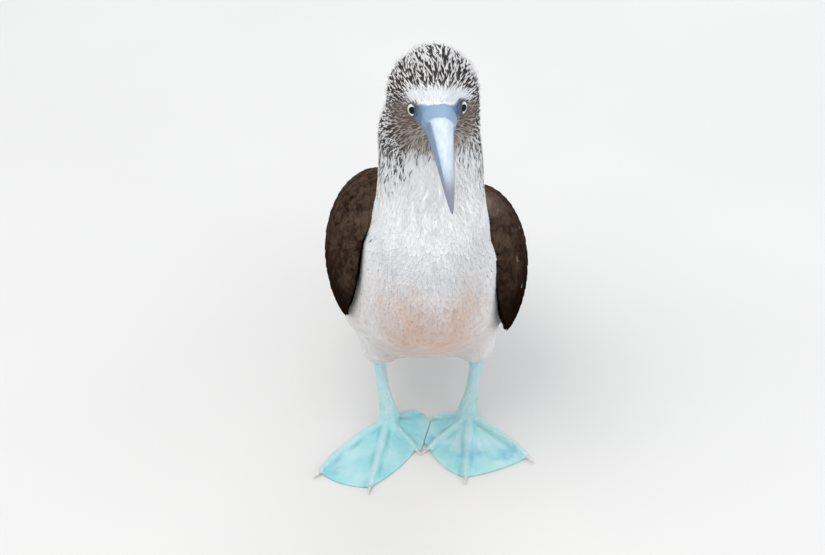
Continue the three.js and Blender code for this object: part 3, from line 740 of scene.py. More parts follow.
def bill_half(upper):
    """One half of the bill, closed by a face along the mouth line."""
    gap = MOUTH_GAP if upper else -MOUTH_GAP

    def place(t, angle):
        along, top, bottom, half = sample(BILL, t)
        middle = mouth_height(along)
        up, out = np.cos(angle), np.sin(angle)
        high = np.where(up > 0, (top - middle) * np.abs(up) ** 1.15, (middle - bottom) * up)
        high = np.maximum(high, gap) if upper else np.minimum(high, gap)
        clipped = np.sign(out) * np.abs(out) ** 0.9
        groove = GROOVE_DEEP * hump(up, GROOVE_PLACE, GROOVE_WIDE) * ease(8, 20, along)
        groove = groove * (1 - ease(76, 92, along)) if upper else 0
        return bill_place(along, (half - groove) * clipped, middle + high)

    return ball(place, BILL_AROUND, BILL_ALONG)


# Legs and feet
def toe_direction(side, angle):
    turn = math.radians(angle)
    return np.array([SIDES[side] * math.sin(turn), -math.cos(turn), 0])


def toe_point(side, spec, share):
    angle, length, _, _, bow = spec
    share = np.asarray(share, float)[..., None]
    ahead, aside = toe_direction(side, angle), toe_direction(side, angle + 90)
    along = np.array(TOE_JOINT[side], float) + ahead * share * length
    return along + aside * bow * np.sin(math.pi * share)


# How a toe swells at its joints: share of its length, share of its radius
TOE_SWELL = [(-0.06, 0.05), (-0.03, 0.8), (0.1, 1), (0.3, 0.86), (0.38, 0.96), (0.5, 0.76), (0.62, 0.74),
             (0.7, 0.84), (0.84, 0.66), (0.96, 0.56), (1, 0.05)]
TOE_END_HEIGHT = 2.8
TOE_FLATNESS = 0.95


def toe(side, spec):
    _, _, radius, rise, _ = spec
    rows = []
    for share, swell in TOE_SWELL:
        x, y, _ = toe_point(side, spec, share)
        height = rise - (rise - TOE_END_HEIGHT) * ease(0, 0.55, share)
        rows.append((x, y, height, radius * swell, radius * swell * TOE_FLATNESS))
    return loft(rows, 20, 60, (0, 0, 1))


# The web: where it starts along the toes and how long it is, its folds, and its underside
WEB_START, WEB_LENGTH = 0.02, 0.95
WEB_FOLD, WEB_FOLDS = 0.35, 9
WEB_BOTTOM = 0.1


def web(side):
    joint = np.array(TOE_JOINT[side], float)
    toes = TOES[side]
    gaps = len(toes) - 1
    rises = np.array([spec[3] for spec in toes])

    def place(u, v, top):
        i = np.minimum((v * gaps + 1e-6).astype(int), gaps - 1)
        part = (v * gaps - i)[..., None]
        share = WEB_START + WEB_LENGTH * u
        ends = np.stack([toe_point(side, spec, share) for spec in toes])
        rows, columns = np.indices(u.shape)
        points = ends[i, rows, columns] * (1 - part) + ends[i + 1, rows, columns] * part
        bulge = 1 + np.array(WEB_BULGE[side])[i][..., None] * 4 * part * (1 - part)
        points = (points - joint) * bulge + joint
        part = part[..., 0]
        rise = rises[i] * (1 - part) + rises[i + 1] * part
        folds = WEB_FOLD * np.sin(v * gaps * WEB_FOLDS * math.pi) * ease(0.1, 0.5, u)
        upper = WEB_TOP + folds + 0.8 * rise * (1 - ease(0, 0.5, u))
        points[..., 2] = upper if top else WEB_BOTTOM
        return points

    return slab(place, 40, 24 * gaps)


# The pad where the toes meet: back, up, wide, deep
PAD = [(9, 4.5, 0.3, 0.3), (7.5, 4.5, 5.5, 4.3), (0, 5, 9, 4.8), (-9, 4.5, 8, 4.3), (-20, 4, 0.3, 0.3)]


def foot_root(side):
    x, y, _ = TOE_JOINT[side]
    return loft([(x, y + back, up, wide, deep) for back, up, wide, deep in PAD], 24, 24, (0, 0, 1))


# Tarsus: share of the way from the toes' joint to the ankle, inward, wide, deep
TARSUS = [(-0.16, 1.5, 0.5, 0.5), (-0.1, 1.5, 7.5, 5.5), (0.06, 1.9, 9.4, 6.4), (0.22, 1.4, 7.6, 5.6),
          (0.45, 0.5, 5.8, 5.2), (0.72, 0, 5.3, 5.6), (0.95, 0, 5.8, 6.6), (1.12, 0, 5.8, 6.6),
          (1.22, 0, 3.5, 4), (1.26, 0, 0.5, 0.5)]


def tarsus(side):
    joint, ankle = np.array(TOE_JOINT[side], float), np.array(ANKLE[side], float)
    inward = np.array([-SIDES[side], 0, 0])
    rows = [(*(joint + (ankle - joint) * share + inward * inner), wide, deep)
            for share, inner, wide, deep in TARSUS]
    return loft(rows, 28, 50, (0, 1, 0))


# Claw: ahead of the toe's tip, up, radius
CLAW_SHAPE = [(-6, 2.6, 0.2), (-5, 2.6, 1.2), (0, 2.8, 1.6), (0.5 * CLAW_LENGTH, 2.4, 1.3),
              (0.85 * CLAW_LENGTH, 1.5, 0.7), (CLAW_LENGTH, 0.9, 0.12)]
CLAW_NARROWNESS = 0.8


def claw(side, spec):
    angle, length = spec[:2]
    ahead = toe_direction(side, angle)
    tip = np.array(TOE_JOINT[side], float) + ahead * length
    rows = [(*(tip + ahead * out)[:2], up, radius * CLAW_NARROWNESS, radius)
            for out, up, radius in CLAW_SHAPE]
    return loft(rows, 16, 20, (0, 0, 1))


# Wings
def wing_sheet(side, u, v):
    x, y, z, inner, up, down, _ = sample(WING, u)
    step = 0.02
    before, after = sample(WING, u - step), sample(WING, u + step)
    slope = np.arctan2(before[2] - after[2], after[1] - before[1])
    angle = -v * np.where(v < 0, WRAP_UP, WRAP_DOWN)
    rise = np.where(v < 0, up, down) * np.sin(angle)
    droop = WING_DROOP[side] * (1 - ease(0.35, 0.7, u))
    out = inner + (x - inner) * np.cos(angle) + WING_OUT[side]
    return np.stack([SIDES[side] * out, y + rise * np.sin(slope), z + rise * np.cos(slope) + droop], -1)


def wing_normal(side, u, v):
    step = 0.01
    ahead = wing_sheet(side, np.minimum(u + step, 1), v) - wing_sheet(side, np.maximum(u - step, 0), v)
    across = wing_sheet(side, u, v + step) - wing_sheet(side, u, v - step)
    return unit(np.cross(ahead, across)) * -SIDES[side]


def wing_point(side, u, v, high):
    return wing_sheet(side, u, v) + wing_normal(side, u, v) * np.asarray(high)[..., None]


# The core under a wing's feathers: how far in from the edge, how far below them, and its thinnest
CORE_EDGE, CORE_SUNK, CORE_THIN = 0.97, 0.3, 0.6


def wing_core(side):
    def place(a, b, top):
        u = 0.002 + 0.996 * a
        v = 2 * b - 1
        deep = sample(WING, u)[6]
        edge = np.sqrt(np.maximum(1 - v * v, 0))
        under = CORE_THIN + (deep - CORE_THIN) * edge
        return wing_point(side, u, v * CORE_EDGE, -CORE_SUNK if top else -under)

    return slab(place, 90, 40)


# Feathers
# Each is a small patch at its root's place on the skin's own unwrap
PATCH = 0.003
# Share of the body's own shading in a small feather's
SOFTNESS = 0.97


def feather_mesh(name, points, along, across, roots_uv):
    """Many feathers as one mesh. points holds a grid of points for each feather, along and across
    where they lie on it, and roots_uv where its root lies on the unwrap."""
    count, rows, columns = points.shape[:3]
    quads = grid_quads(rows, columns) + (np.arange(count) * rows * columns)[:, None, None]
    mesh = mesh_of(name, points.reshape(-1, 3), quads.reshape(-1, 4))
    u = roots_uv[:, None, None, 0] + PATCH * 0.5 * across
    v = roots_uv[:, None, None, 1] + PATCH * along[:, None]
    uv = np.stack(np.broadcast_arrays(u, v), -1).reshape(-1, 2)
    corner = rows_of(mesh.loops, "vertex_index", 1, np.int32)[:, 0]
    layer = mesh.uv_layers.new(name="OFBake")
    layer.data.foreach_set("uv", uv[corner].astype(np.float32).ravel())
    return mesh


def feather_values(count, along, across, **values):
    """Each feather's own numbers, and the place along and across it, for each of its points."""
    found = {key: np.repeat(numbers, len(along) * len(across)) for key, numbers in values.items()}
    found["along"] = np.tile(np.repeat(along, len(across)), count)
    found["across"] = np.tile(across, count * len(along))
    return found


def profile(along, point, root=0.5, lance=False):
    """Half width, as a share of the widest, along a feather; point is where it starts to narrow,
    to a round tip or, for a lance, to a sharp one."""
    grow = root + (1 - root) * np.minimum(along / 0.3, 1)
    past = np.clip((along - point) / (1 - point), 0, 1)
    tip = 1 - past ** 1.1 if lance else np.sqrt(1 - past ** 2)
    return grow * np.maximum(tip, 0.05)


# Where the coat lies away from on the head, and how it lies elsewhere
LIE_FROM = (6, -116, 386)
LIE_DOWN = np.array([0, 0.12, -1])
LIE_BACK = np.array([0, 1, -0.55])


def lie_of(points, normals):
    """The direction the coat lies in: back from the bill, down the neck, back under the belly."""
    x, y, z = points.T
    head = ease(338, 385, z)[..., None]
    rear = np.maximum(ease(160, 95, z), ease(-25, 40, y))[..., None] * (1 - head)
    lie = LIE_DOWN * (1 - rear) + unit(LIE_BACK) * rear
    lie = unit(points - np.array(LIE_FROM)) * head + lie * (1 - head)
    for side in SIDES:
        ankle = ANKLE[side]
        near = np.hypot(x - ankle[0], y - ankle[1] + 5)
        leg = ((1 - ease(20, 32, near)) * (1 - ease(92, 112, z)))[..., None]
        lie = lie * (1 - leg) + LIE_DOWN * leg
    swirl = 0.16 * np.sin(x / 9 + z / 13) + 0.12 * np.sin(z / 7 - y / 11 + 2)
    lie = lie + np.cross(normals, lie) * swirl[..., None]
    return unit(lie - normals * (lie * normals).sum(-1, keepdims=True))


# The flanks' feathers puff out over the wings' front edges, by this much and over this distance
FLANK_FLUFF = 5
FLUFF_NEAR, FLUFF_FAR = 9, 32
FLANK_LOW, FLANK_HIGH = 95, 260
FAR = 99.0


def fluff(points):
    """How far the coat stands off the body beside the wings."""
    u = np.linspace(0.03, 0.66, 60)
    edges = np.vstack([wing_sheet(side, u, np.full(len(u), 0.95)) for side in SIDES])
    gap = np.full(len(points), FAR)
    z = points[:, 2]
    near = (z > FLANK_LOW) & (z < FLANK_HIGH)
    gap[near] = length_of(points[near, None] - edges[None]).min(1)
    return FLANK_FLUFF * (1 - ease(FLUFF_NEAR, FLUFF_FAR, gap)) * ease(98, 130, z)


COVER_VOXEL, COVER_ROUNDS = 2.0, 12
HEM_ROUNDS = 40


class Cover:
    """The outer face of the coat on the body, head, thighs and root of the tail."""

    def __init__(self):
        shells = [ball(body_point, 160, 260), thigh("left"), thigh("right"), tail_core()]
        self.mesh = fused("skin_cover", shells, COVER_VOXEL, COVER_ROUNDS)
        points = self.rounded(points_of(self.mesh))
        self.points = points + normals_of(self.mesh) * fluff(points)[:, None]
        set_points(self.mesh, self.points)
        self.triangles = triangles_of(self.mesh)
        self.normals = unit(normals_of(self.mesh)[self.triangles].mean(1))
        self.tree = BVHTree.FromPolygons(self.points.tolist(), self.triangles.tolist())

    def rounded(self, points):
        """Draws the hem of the belly and the thighs into one soft form."""
        start, end = rows_of(self.mesh.edges, "vertices", 2, np.int32).T
        share = 0.6 * ease(140, 105, points[:, 2:])
        count = np.bincount(np.append(start, end), minlength=len(points))[:, None]
        for _ in range(HEM_ROUNDS):
            total = np.zeros_like(points)
            np.add.at(total, start, points[end])
            np.add.at(total, end, points[start])
            points = points + share * (total / count - points)
        return points

    def nearest(self, points):
        """The places on the cover nearest to some points, and its normals there."""
        found = [self.tree.find_nearest(Vector(point)) for point in points]
        places, _, faces, _ = zip(*found)
        return np.array(places), self.normals[list(faces)]


cover = Cover()
bill_shells = {upper: bill_half(upper) for upper in (True, False)}
bill_points, bill_quads, bill_triangles = joined(bill_shells.values())
bill_tree = BVHTree.FromPolygons(bill_points.tolist(), bill_quads.tolist() + bill_triangles.tolist())

# Streaks of the neck: their lowest height at the sides, how much higher they end in front and on the
# left, how much lower behind, and how far up they take to close
STREAKS_LOW, STREAKS_FRONT, STREAKS_LEFT, STREAKS_BEHIND, STREAKS_FADE = 302, 32, 8, 70, 70

# How far the tail's root falls for each millimetre back
TAIL_FALL = 0.364

# The white rump: its middle and its reach, back and up
RUMP_MIDDLE, RUMP_REACH = (62, 165), (24, 22)

# The bare face: how far it reaches from the bill, and its upper edge, a plane that falls back
# from the root of the bill to the top of the eyes and dips between them.
FACE_REACH = 4.6
FACE_MIDDLE = 5
BROW_SLOPE = 0.745
BROW_HEIGHT = 327.8
BROW_DIP = 2.4

# The bare ring round an eye, and how much wider it is above
EYE_RING, EYE_RING_ABOVE = 6.3, 1.3


def above_brow(points):
    return points[:, 2] + BROW_SLOPE * points[:, 1] - BROW_HEIGHT


def eye_distance(points):
    return np.min([length_of(points - eye_centre(side)) for side in SIDES], axis=0)


def bill_distance(points):
    """The distance to the bill, near the face."""
    gap = np.full(len(points), FAR)
    front = (points[:, 2] > 345) & (points[:, 1] < -55)
    gap[front] = [bill_tree.find_nearest(Vector(point))[3] for point in points[front]]
    return gap


def brown_back(points):
    """The brown of the mantle and of the tail's root, with the white rump between them."""
    _, y, z = points.T
    mantle = ease(12, 30, y - 0.35 * (230 - z)) * ease(118, 150, z)
    rump = hump(y, RUMP_MIDDLE[0], RUMP_REACH[0]) * hump(z, RUMP_MIDDLE[1], RUMP_REACH[1])
    above_tail = z - TAIL_ROOT[2] + (y - TAIL_ROOT[1]) * TAIL_FALL
    tail_root = ease(95, 120, y) * ease(-2, 6, above_tail)
    return np.maximum(mantle, tail_root) * (1 - rump)


def head_streaks(points, eye_gap):
    """How densely the head and neck are streaked; the forehead is white."""
    x, y, z = points.T
    aside = np.abs(x - FACE_MIDDLE)
    above = above_brow(points)
    low = STREAKS_LOW + STREAKS_FRONT * (1 - ease(4, 32, aside))
    low = low + STREAKS_LEFT * ease(0, 40, x) - STREAKS_BEHIND * ease(-85, -20, y)
    streaks = ease(low, low + STREAKS_FADE, z + 5 * np.sin(x / 6))
    forehead = (1 - ease(8, 19, above)) * ease(-4, -2, above) * (y < -70)
    # The forehead's white stops short of the eyes, so the feathers there stay dark: partly their own dark,
    # partly painted shadow of the brow
    forehead = forehead * ease(7.5, 10.5, eye_gap) * (1 - ease(20, 28, aside))
    return streaks * (1 - forehead)


def brown_cheeks(points, near):
    aside = np.abs(points[:, 0] - FACE_MIDDLE)
    brow = above_brow(points) + 8 * (1 - ease(15, 20, aside))
    cheeks = (1 - ease(13, 36, near)) * (1 - ease(-2, 6, brow))
    return cheeks * ease(348, 366, points[:, 2])


def belly_tints(points):
    """How warm the belly is, and how grey the breast, both less at the flanks. The warm beige is partly the
    belly's own tint and partly painted warm light bounced up from the ground.
    """
    x, y, z = points.T
    ragged = z + 4 * np.sin(x / 7) + 3 * np.sin(x / 3 + z / 9)
    warm = ease(258, 205, ragged) * (1 - 0.72 * ease(26, 52, np.abs(x)))
    warm = warm * (1 - ease(0, 60, y)) * (0.6 + 0.4 * ease(108, 138, z))
    return warm, ease(284, 256, ragged) * (1 - 0.7 * ease(30, 58, np.abs(x)))


def bare_face(points, bill_gap, eye_gap):
    """Where the skin is bare, where it is darkest, at the gape and in a painted shadow of the brow above
    each eye, and where it is pale blue by the bill.
    """
    x, _, z = points.T
    aside = np.abs(x - FACE_MIDDLE)
    reach = 0.8 + FACE_REACH * ease(377, 388, z)
    edge = above_brow(points) + BROW_DIP * (1 - ease(9, 16, aside))
    bare = (1 - ease(reach - 0.4, reach + 0.4, bill_gap)) * (1 - ease(-0.4, 0.4, edge))
    ring = EYE_RING + EYE_RING_ABOVE * ease(0, 4, z - EYE_Z)
    bare = np.maximum(bare, 1 - ease(ring, ring + 0.5, eye_gap))
    gape = (1 - ease(374, 386, z)) * (bill_gap < 9)
    # Painted shadow of the brow, on the bare skin above each eye
    brow_shadow = 0.8 * (1 - ease(ring, ring + 0.8, eye_gap)) * ease(0, 5, z - EYE_Z)
    root = (1 - ease(9, 14, aside)) * ease(380, 386, z)
    return bare, np.maximum(gape, brow_shadow), root


def markings(points):
    """The pattern that the skin and the coat share, by place."""
    bill_gap, eye_gap = bill_distance(points), eye_distance(points)
    dark = np.maximum(head_streaks(points, eye_gap), brown_back(points))
    warm, grey = belly_tints(points)
    bare, gape, root = bare_face(points, bill_gap, eye_gap)
    return {"dark": dark, "face": brown_cheeks(points, np.minimum(bill_gap, eye_gap)), "warm": warm,
            "grey": grey, "bare": bare, "gape": gape, "root": root}


# Depth of the coat on the head and on the body
HEAD_DEPTH, BODY_DEPTH = 1.6, 0.8


def coat_depth(z):
    return HEAD_DEPTH - (HEAD_DEPTH - BODY_DEPTH) * ease(350, 290, z)


def make_skin():
    """The cover drawn in by the coat's depth, at full size where it is bare, open at the eyes."""
    mesh = cover.mesh.copy()
    points = points_of(mesh)
    values = markings(points)
    depth = coat_depth(points[:, 2]) * (1 - values["bare"]) + fluff(points)
    points = points - normals_of(mesh) * depth[:, None]
    for side in SIDES:
        ahead, aside = eye_offset(side, points)
        ball_height = np.sqrt(np.maximum(EYE_RADIUS ** 2 - aside ** 2, 0)) - 0.8
        inside = (aside < EYE_OPENING + 0.6) & (ahead > 0)
        sunk = np.where(inside, np.maximum(ahead - ball_height, 0), 0)
        points = points - sunk[:, None] * eye_axes(side)[0]
    set_points(mesh, points)
    skin = piece("skin", mesh, skin_material(), values)
    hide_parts("head", "neck", "torso", "thigh_left", "thigh_right")


def spread_roots(rng, spacing_at, low, high):
    """Roots of feathers over the cover between two heights, no two closer than the spacing there."""
    corners = cover.points[cover.triangles]
    centres = corners.mean(1)
    normals = np.cross(corners[:, 1] - corners[:, 0], corners[:, 2] - corners[:, 0])
    keep = (centres[:, 2] > low) & (centres[:, 2] <= high)
    weight = np.where(keep, length_of(normals) / 2 / spacing_at(centres) ** 2, 0)
    count = int(weight.sum() * 5)
    chosen = rng.choice(len(weight), count, p=weight / weight.sum())
    a, b = rng.random((2, count, 1))
    flip = a + b > 1
    a, b = np.where(flip, 1 - a, a), np.where(flip, 1 - b, b)
    first, second, third = np.moveaxis(corners[chosen], 1, 0)
    points = first + (second - first) * a + (third - first) * b
    kept = thinned(points, spacing_at(points))
    return points[kept], unit(normals[chosen[kept]])


def thinned(points, spacing):
    """The points that are left when each in turn drops those nearer than its spacing."""
    tree = KDTree(len(points))
    for i, point in enumerate(points):
        tree.insert(point, i)
    tree.balance()
    dropped = np.zeros(len(points), bool)
    kept = []
    for i, point in enumerate(points):
        if dropped[i]:
            continue
        kept.append(i)
        for _, j, _ in tree.find_range(point, spacing[i]):
            dropped[j] = True
    return kept


# Where a body feather's points lie on it
ALONG = np.array([0, 0.35, 0.65, 0.86, 1.0])
ACROSS = np.array([-1.0, 0.0, 1.0])
EDGE_DROP = 0.08


def laid(roots, lie, length, rise):
    """Points from root to tip of each feather on the cover, and the cover's normals there."""
    depth, stand = coat_depth(roots[:, 2]), fluff(roots)
    centre = np.empty((len(roots), len(ALONG), 3))
    upright = np.empty_like(centre)
    for k, share in enumerate(ALONG):
        place, upright[:, k] = cover.nearest(roots + lie * (length * share)[:, None])
        high = rise * share ** 2 - depth * (1 - share) ** 0.8 - (stand if k == 0 else 0)
        centre[:, k] = place + upright[:, k] * high[:, None]
    return centre, upright


def coat_unwrap(points):
    """The skin's own unwrap: the angle round the bird, and the way up it."""
    x, y, z = points.T
    angle = np.arctan2(x, -(y + 20)) / (2 * math.pi) + 0.5
    return np.stack([angle, np.clip((z - 60 + 0.3 * np.abs(y)) / 420, 0, 0.996)], -1)


def coat_values(rng, roots, dark, face, warm, grey):
    """Which feathers have a dark streak, how wide it is and how long their white tips are, and the
    rest that their material needs."""
    count = len(roots)
    mantle = brown_back(roots)
    streaked = rng.random(count) < dark ** 0.9
    neck = ease(372, 345, roots[:, 2]) * (1 - mantle)
    tip = (0.51 - 0.17 * face - 0.3 * mantle - 0.17 * neck) * rng.uniform(0.6, 1.35, count)
    return feather_values(count, ALONG, ACROSS, dark=streaked, streak=0.45 + 0.7 * dark ** 2,
                          face=np.maximum(face, 0.6 * mantle), warm=warm, grey=grey,
                          shade=rng.random(count), tip=tip * ease(104, 84, roots[:, 1]))


def coat_piece(name, seed, slot, low, high, spacing_at, length_at, width_at, point, lift, lance):
    """Body feathers between two heights, each laid on the cover from root to tip."""
    rng = np.random.default_rng(seed)
    roots, normals = spread_roots(rng, spacing_at, low, high)
    marks = markings(roots)
    clear = marks["bare"] < 0.5
    roots, normals = roots[clear], normals[clear]
    dark, face, warm, grey = (marks[key][clear] for key in ("dark", "face", "warm", "grey"))
    count = len(roots)
    lie = lie_of(roots, normals)
    lie = unit(lie + np.cross(normals, lie) * rng.normal(0, 0.12 + 0.14 * dark[:, None]))
    length = length_at(roots) * rng.uniform(0.8, 1.2, count)
    rise = lift * rng.random(count) ** 2 * (0.3 + 0.7 * ease(385, 410, roots[:, 2]))
    centre, upright = laid(roots, lie, length, rise)
    half = width_at(roots) * rng.uniform(0.85, 1.12, count)
    half = half[:, None] * profile(ALONG, point, lance=lance)
    side = unit(np.cross(upright, lie[:, None]))[:, :, None] * ACROSS[:, None]
    drop = upright[:, :, None] * EDGE_DROP * (ACROSS ** 2)[:, None]
    points = centre[:, :, None] + (side - drop) * half[..., None, None]
    mesh = feather_mesh(name, points, ALONG, ACROSS, coat_unwrap(roots))
    soft = np.broadcast_to(upright[:, :, None], points.shape).reshape(-1, 3)
    shaded = unit(soft * SOFTNESS + normals_of(mesh) * (1 - SOFTNESS))
    mesh.normals_split_custom_set_from_vertices(shaded.tolist())
    piece(name, mesh, plumage, coat_values(rng, roots, dark, face, warm, grey))


def head_spacing(points):
    _, y, z = points.T
    return 2.2 - 0.5 * ease(-75, -95, y) * ease(350, 365, z) + 0.9 * ease(320, 280, z)


def head_length(points):
    small = (1 - ease(8, 25, np.abs(above_brow(points)))) * (points[:, 1] < -75)
    return 10 - 5 * small


def head_width(points):
    return 0.45 * head_spacing(points)


def neck_length(points):
    return 10 + 2 * ease(325, 280, points[:, 2])


def neck_width(points):
    return 1.3 + 0.9 * ease(325, 280, points[:, 2])


def body_spacing(points):
    return 2.7 + 0.2 * ease(280, 200, points[:, 2])


def body_length(points):
    return np.full(len(points), 12.0)


def body_width(points):
    return np.full(len(points), 2.5)


# Pieces: name, seed, slot, lowest and highest root, spacing, length, half width, where the point
# starts, lift off the body, sharp tip
COATS = [
    ("coat_head", 11, "head_plumage", 345, 999, head_spacing, head_length, head_width, 0.25, 3.0, True),
    ("coat_neck", 12, "neck_plumage", 290, 345, head_spacing, neck_length, neck_width, 0.3, 0.4, True),
    ("coat_breast", 13, "white_plumage", 165, 290, body_spacing, body_length, body_width, 0.45, 0.1, False),
    ("coat_belly", 14, "white_plumage", 0, 165, body_spacing, body_length, body_width, 0.45, 0.1, False),
]

make_skin()
plumage = plumage_material()
for coat in COATS:
    coat_piece(*coat)


# Bill pieces
def make_bill():
    horn = bill_material()
    t, angle = ball_stations(BILL_AROUND, BILL_ALONG)
    along = sample(BILL, t)[0] / BILL_LENGTH
    for upper, shell in bill_shells.items():
        name = "bill_upper" if upper else "bill_lower"
        mesh = mesh_of(name + "_horn", *shell)
        outward(mesh)
        # The ridge is turned towards the lit side as painted light; the lower half takes the flanks'
        # colour, which is partly painted shade
        ridge = np.cos(angle - PALE_LEAN_TO_LIGHT) if upper else np.zeros(len(angle))
        half = piece(name + "_horn", mesh, horn, {"along": along, "ridge": ridge})
        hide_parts(name)


# Eyes
PUPIL_TOWARDS = (6, -116, 392)
CORNEA_RISE, CORNEA_REACH = 0.35, 0.5
LID_TURNS, LID_RINGS = 64, 14
LID_THICK, LID_THICKER_ABOVE = 0.4, 0.3


def eye_ball(side):
    """A ball with a bulging cornea, and each point's angle from the pupil and place in the lids."""
    middle = eye_centre(side)
    look, aside, upward = eye_axes(side)

    def place(t, angle):
        polar = math.pi * t[..., None]
        ring = aside * np.cos(angle)[..., None] + upward * np.sin(angle)[..., None]
        radius = EYE_RADIUS + CORNEA_RISE * hump(polar, 0, CORNEA_REACH)
        return middle + radius * (look * np.cos(polar) + ring * np.sin(polar))

    mesh = mesh_of(f"eye_{side}_ball", *ball(place, 64, 64))
    outward(mesh)
    points = points_of(mesh)
    # Raised a little, the pupil's black also paints the brow's shadow over the top of the iris
    gaze = unit(look + PUPIL_AHEAD * unit(np.array(PUPIL_TOWARDS) - middle) + [0, 0, PUPIL_UP])
    polar = np.arccos(np.clip(unit(points - middle) @ gaze, -1, 1))
    return mesh, {"polar": polar, "opening": eye_offset(side, points)[1] / EYE_OPENING}


def lid(side):
    """A ring of skin round the oval opening, thicker and hanging over a little above."""
    look, aside, upward = eye_axes(side)
    turns = np.linspace(0, 2 * math.pi, LID_TURNS, endpoint=False)
    rings = np.linspace(0, 2 * math.pi, LID_RINGS, endpoint=False)
    turn, ring = np.meshgrid(turns, rings, indexing="ij")
    upper = np.maximum(np.sin(turn), 0)
    tube = LID_THICK + LID_THICKER_ABOVE * upper
    wide = EYE_OPENING * EYE_OVAL[0] * np.cos(turn)
    tall = (EYE_OPENING * EYE_OVAL[1] - 0.4 * upper) * np.sin(turn)
    high = np.sqrt(EYE_RADIUS ** 2 - wide ** 2 - tall ** 2) + 0.1 + 0.4 * upper + tube * np.sin(ring)
    wide = wide + tube * np.cos(ring) * np.cos(turn)
    tall = tall + tube * np.cos(ring) * np.sin(turn)
    points = look * high[..., None] + aside * wide[..., None] + upward * tall[..., None]
    quads = grid_quads(LID_TURNS, LID_RINGS, around=True, closed=True)
    mesh = mesh_of(f"lid_{side}", (eye_centre(side) + points).reshape(-1, 3), quads)
    outward(mesh)
    return mesh


def make_eyes():
    glass, rim = eye_material(), lid_material()
    for side in SIDES:
        mesh, values = eye_ball(side)
        eye = piece(f"eye_{side}_ball", mesh, glass, values)
        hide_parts(f"eye_{side}")
        piece(f"lid_{side}", lid(side), rim)


# Feet
FOOT_VOXEL, FOOT_ROUNDS = 0.75, 4
FOOT_BOTTOM = 0.05
# How far the toes' paler colour, partly a painted highlight, reaches from their middle lines
TOE_REACH = 1.9
# Where the painted shade of the creases lies beside each toe, and how wide it is
FOLD_FROM_TOE, FOLD_REACH = 5, 1.6


def foot_mesh(side):
    """Web, toes and leg as one skin, above the floor and on its own side of the line between."""
    shells = [web(side), foot_root(side), tarsus(side)] + [toe(side, spec) for spec in TOES[side]]
    mesh = fused(f"foot_{side}_skin", shells, FOOT_VOXEL, FOOT_ROUNDS)
    points = points_of(mesh)
    points[:, 2] = np.maximum(points[:, 2], FOOT_BOTTOM)
    past = SIDES[side] * (points[:, 0] - FEET_MEET_X - FEET_MEET_SLOPE * points[:, 1]) - FEET_GAP
    points[:, 0] -= SIDES[side] * np.minimum(past, 0)
    set_points(mesh, points)
    return mesh


def foot_values(side, points):
    """Where the skin is on a toe or the leg, and where it is darkened: painted shade in the creases beside
    the toes, and a darker band at the top of the leg.
    """
    near = np.full(len(points), FAR)
    for spec in TOES[side]:
        line = toe_point(side, spec, np.linspace(0, 1, 40))
        near = np.minimum(near, length_of(points[:, None, :2] - line[None, :, :2]).min(1))
    x, y, z = points.T
    leg = ease(8, 16, z)
    # Painted shade in the creases beside the toes
    fold = hump(near, FOLD_FROM_TOE, FOLD_REACH) * (1 - leg) * (0.5 + 0.5 * np.sin(x / 5 + y / 7))
    toe_share = np.maximum(hump(near, 0, TOE_REACH), 0.4 * leg)
    return {"toe": toe_share, "fold": np.maximum(fold, ease(66, 71, z))}


def make_feet():
    skin, horn = foot_material(), claw_material()
    for side in SIDES:
        mesh = foot_mesh(side)
        foot = piece(f"foot_{side}_skin", mesh, skin, foot_values(side, points_of(mesh)))
        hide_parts(f"foot_{side}", f"leg_{side}")
        claws = mesh_of(f"claws_{side}", *joined([claw(side, spec) for spec in TOES[side][:-1]]))
        piece(f"claws_{side}", claws, horn)


# Wings
# Tiers: first and last u, rows, first and last v, spacing, length, half width, height, point, share
# with a white tip; from the primaries over the secondaries and the greater and median coverts to the
# lesser coverts
WING_TIERS = [
    (0.52, 0.60, 1, -0.5, 0.85, 9, 170, 9.5, 0.5, 0.8, 0),
    (0.40, 0.52, 2, -0.85, 0.95, 9, 105, 9, 0.9, 0.75, 0),
    (0.33, 0.43, 2, -0.95, 0.97, 8, 62, 8, 1.2, 0.65, 0),
    (0.22, 0.34, 4, -0.98, 0.98, 7, 34, 6.5, 1.5, 0.55, 0.02),
    (0.015, 0.23, 12, -0.98, 0.98, 6, 20, 5, 1.8, 0.5, 0.03),
]
# Patches of paler feathers, at u and v, and their reach along and across
WING_PATCHES = {"left": [(0.15, -0.69), (0.43, 0.95)], "right": [(0.5, 0.78)]}
PATCH_ALONG, PATCH_ACROSS = 0.04, 0.2
WING_ALONG = np.array([0, 0.15, 0.35, 0.55, 0.72, 0.86, 0.95, 1.0])
WING_ACROSS = np.array([-1, -0.5, -0.06, 0, 0.06, 0.5, 1])
SHAFT_SHARE = 0.1
SUNK_ROOT = 0.9


def tier_roots(side, rng, first, last, rows, v_low, v_high, spacing):
    """Roots in rows across the wing, each row set off by half a step from the last."""
    found = []
    for row in range(rows):
        u = first + (last - first) * (row / max(rows - 1, 1))
        v = np.linspace(v_low, v_high, 200)
        line = wing_sheet(side, np.full(len(v), u), v)
        reach = np.concatenate([[0], np.cumsum(length_of(np.diff(line, axis=0)))])
        count = max(int(reach[-1] / spacing), 2)
        steps = (np.arange(count) + 0.25 + 0.5 * (row % 2)) / count + rng.normal(0, 0.08, count) / count
        places = np.interp(steps * reach[-1], reach, v)
        found.append(np.stack([u + rng.normal(0, 0.003, count) - 0.02 * np.abs(places), places], -1))
    return np.vstack(found)


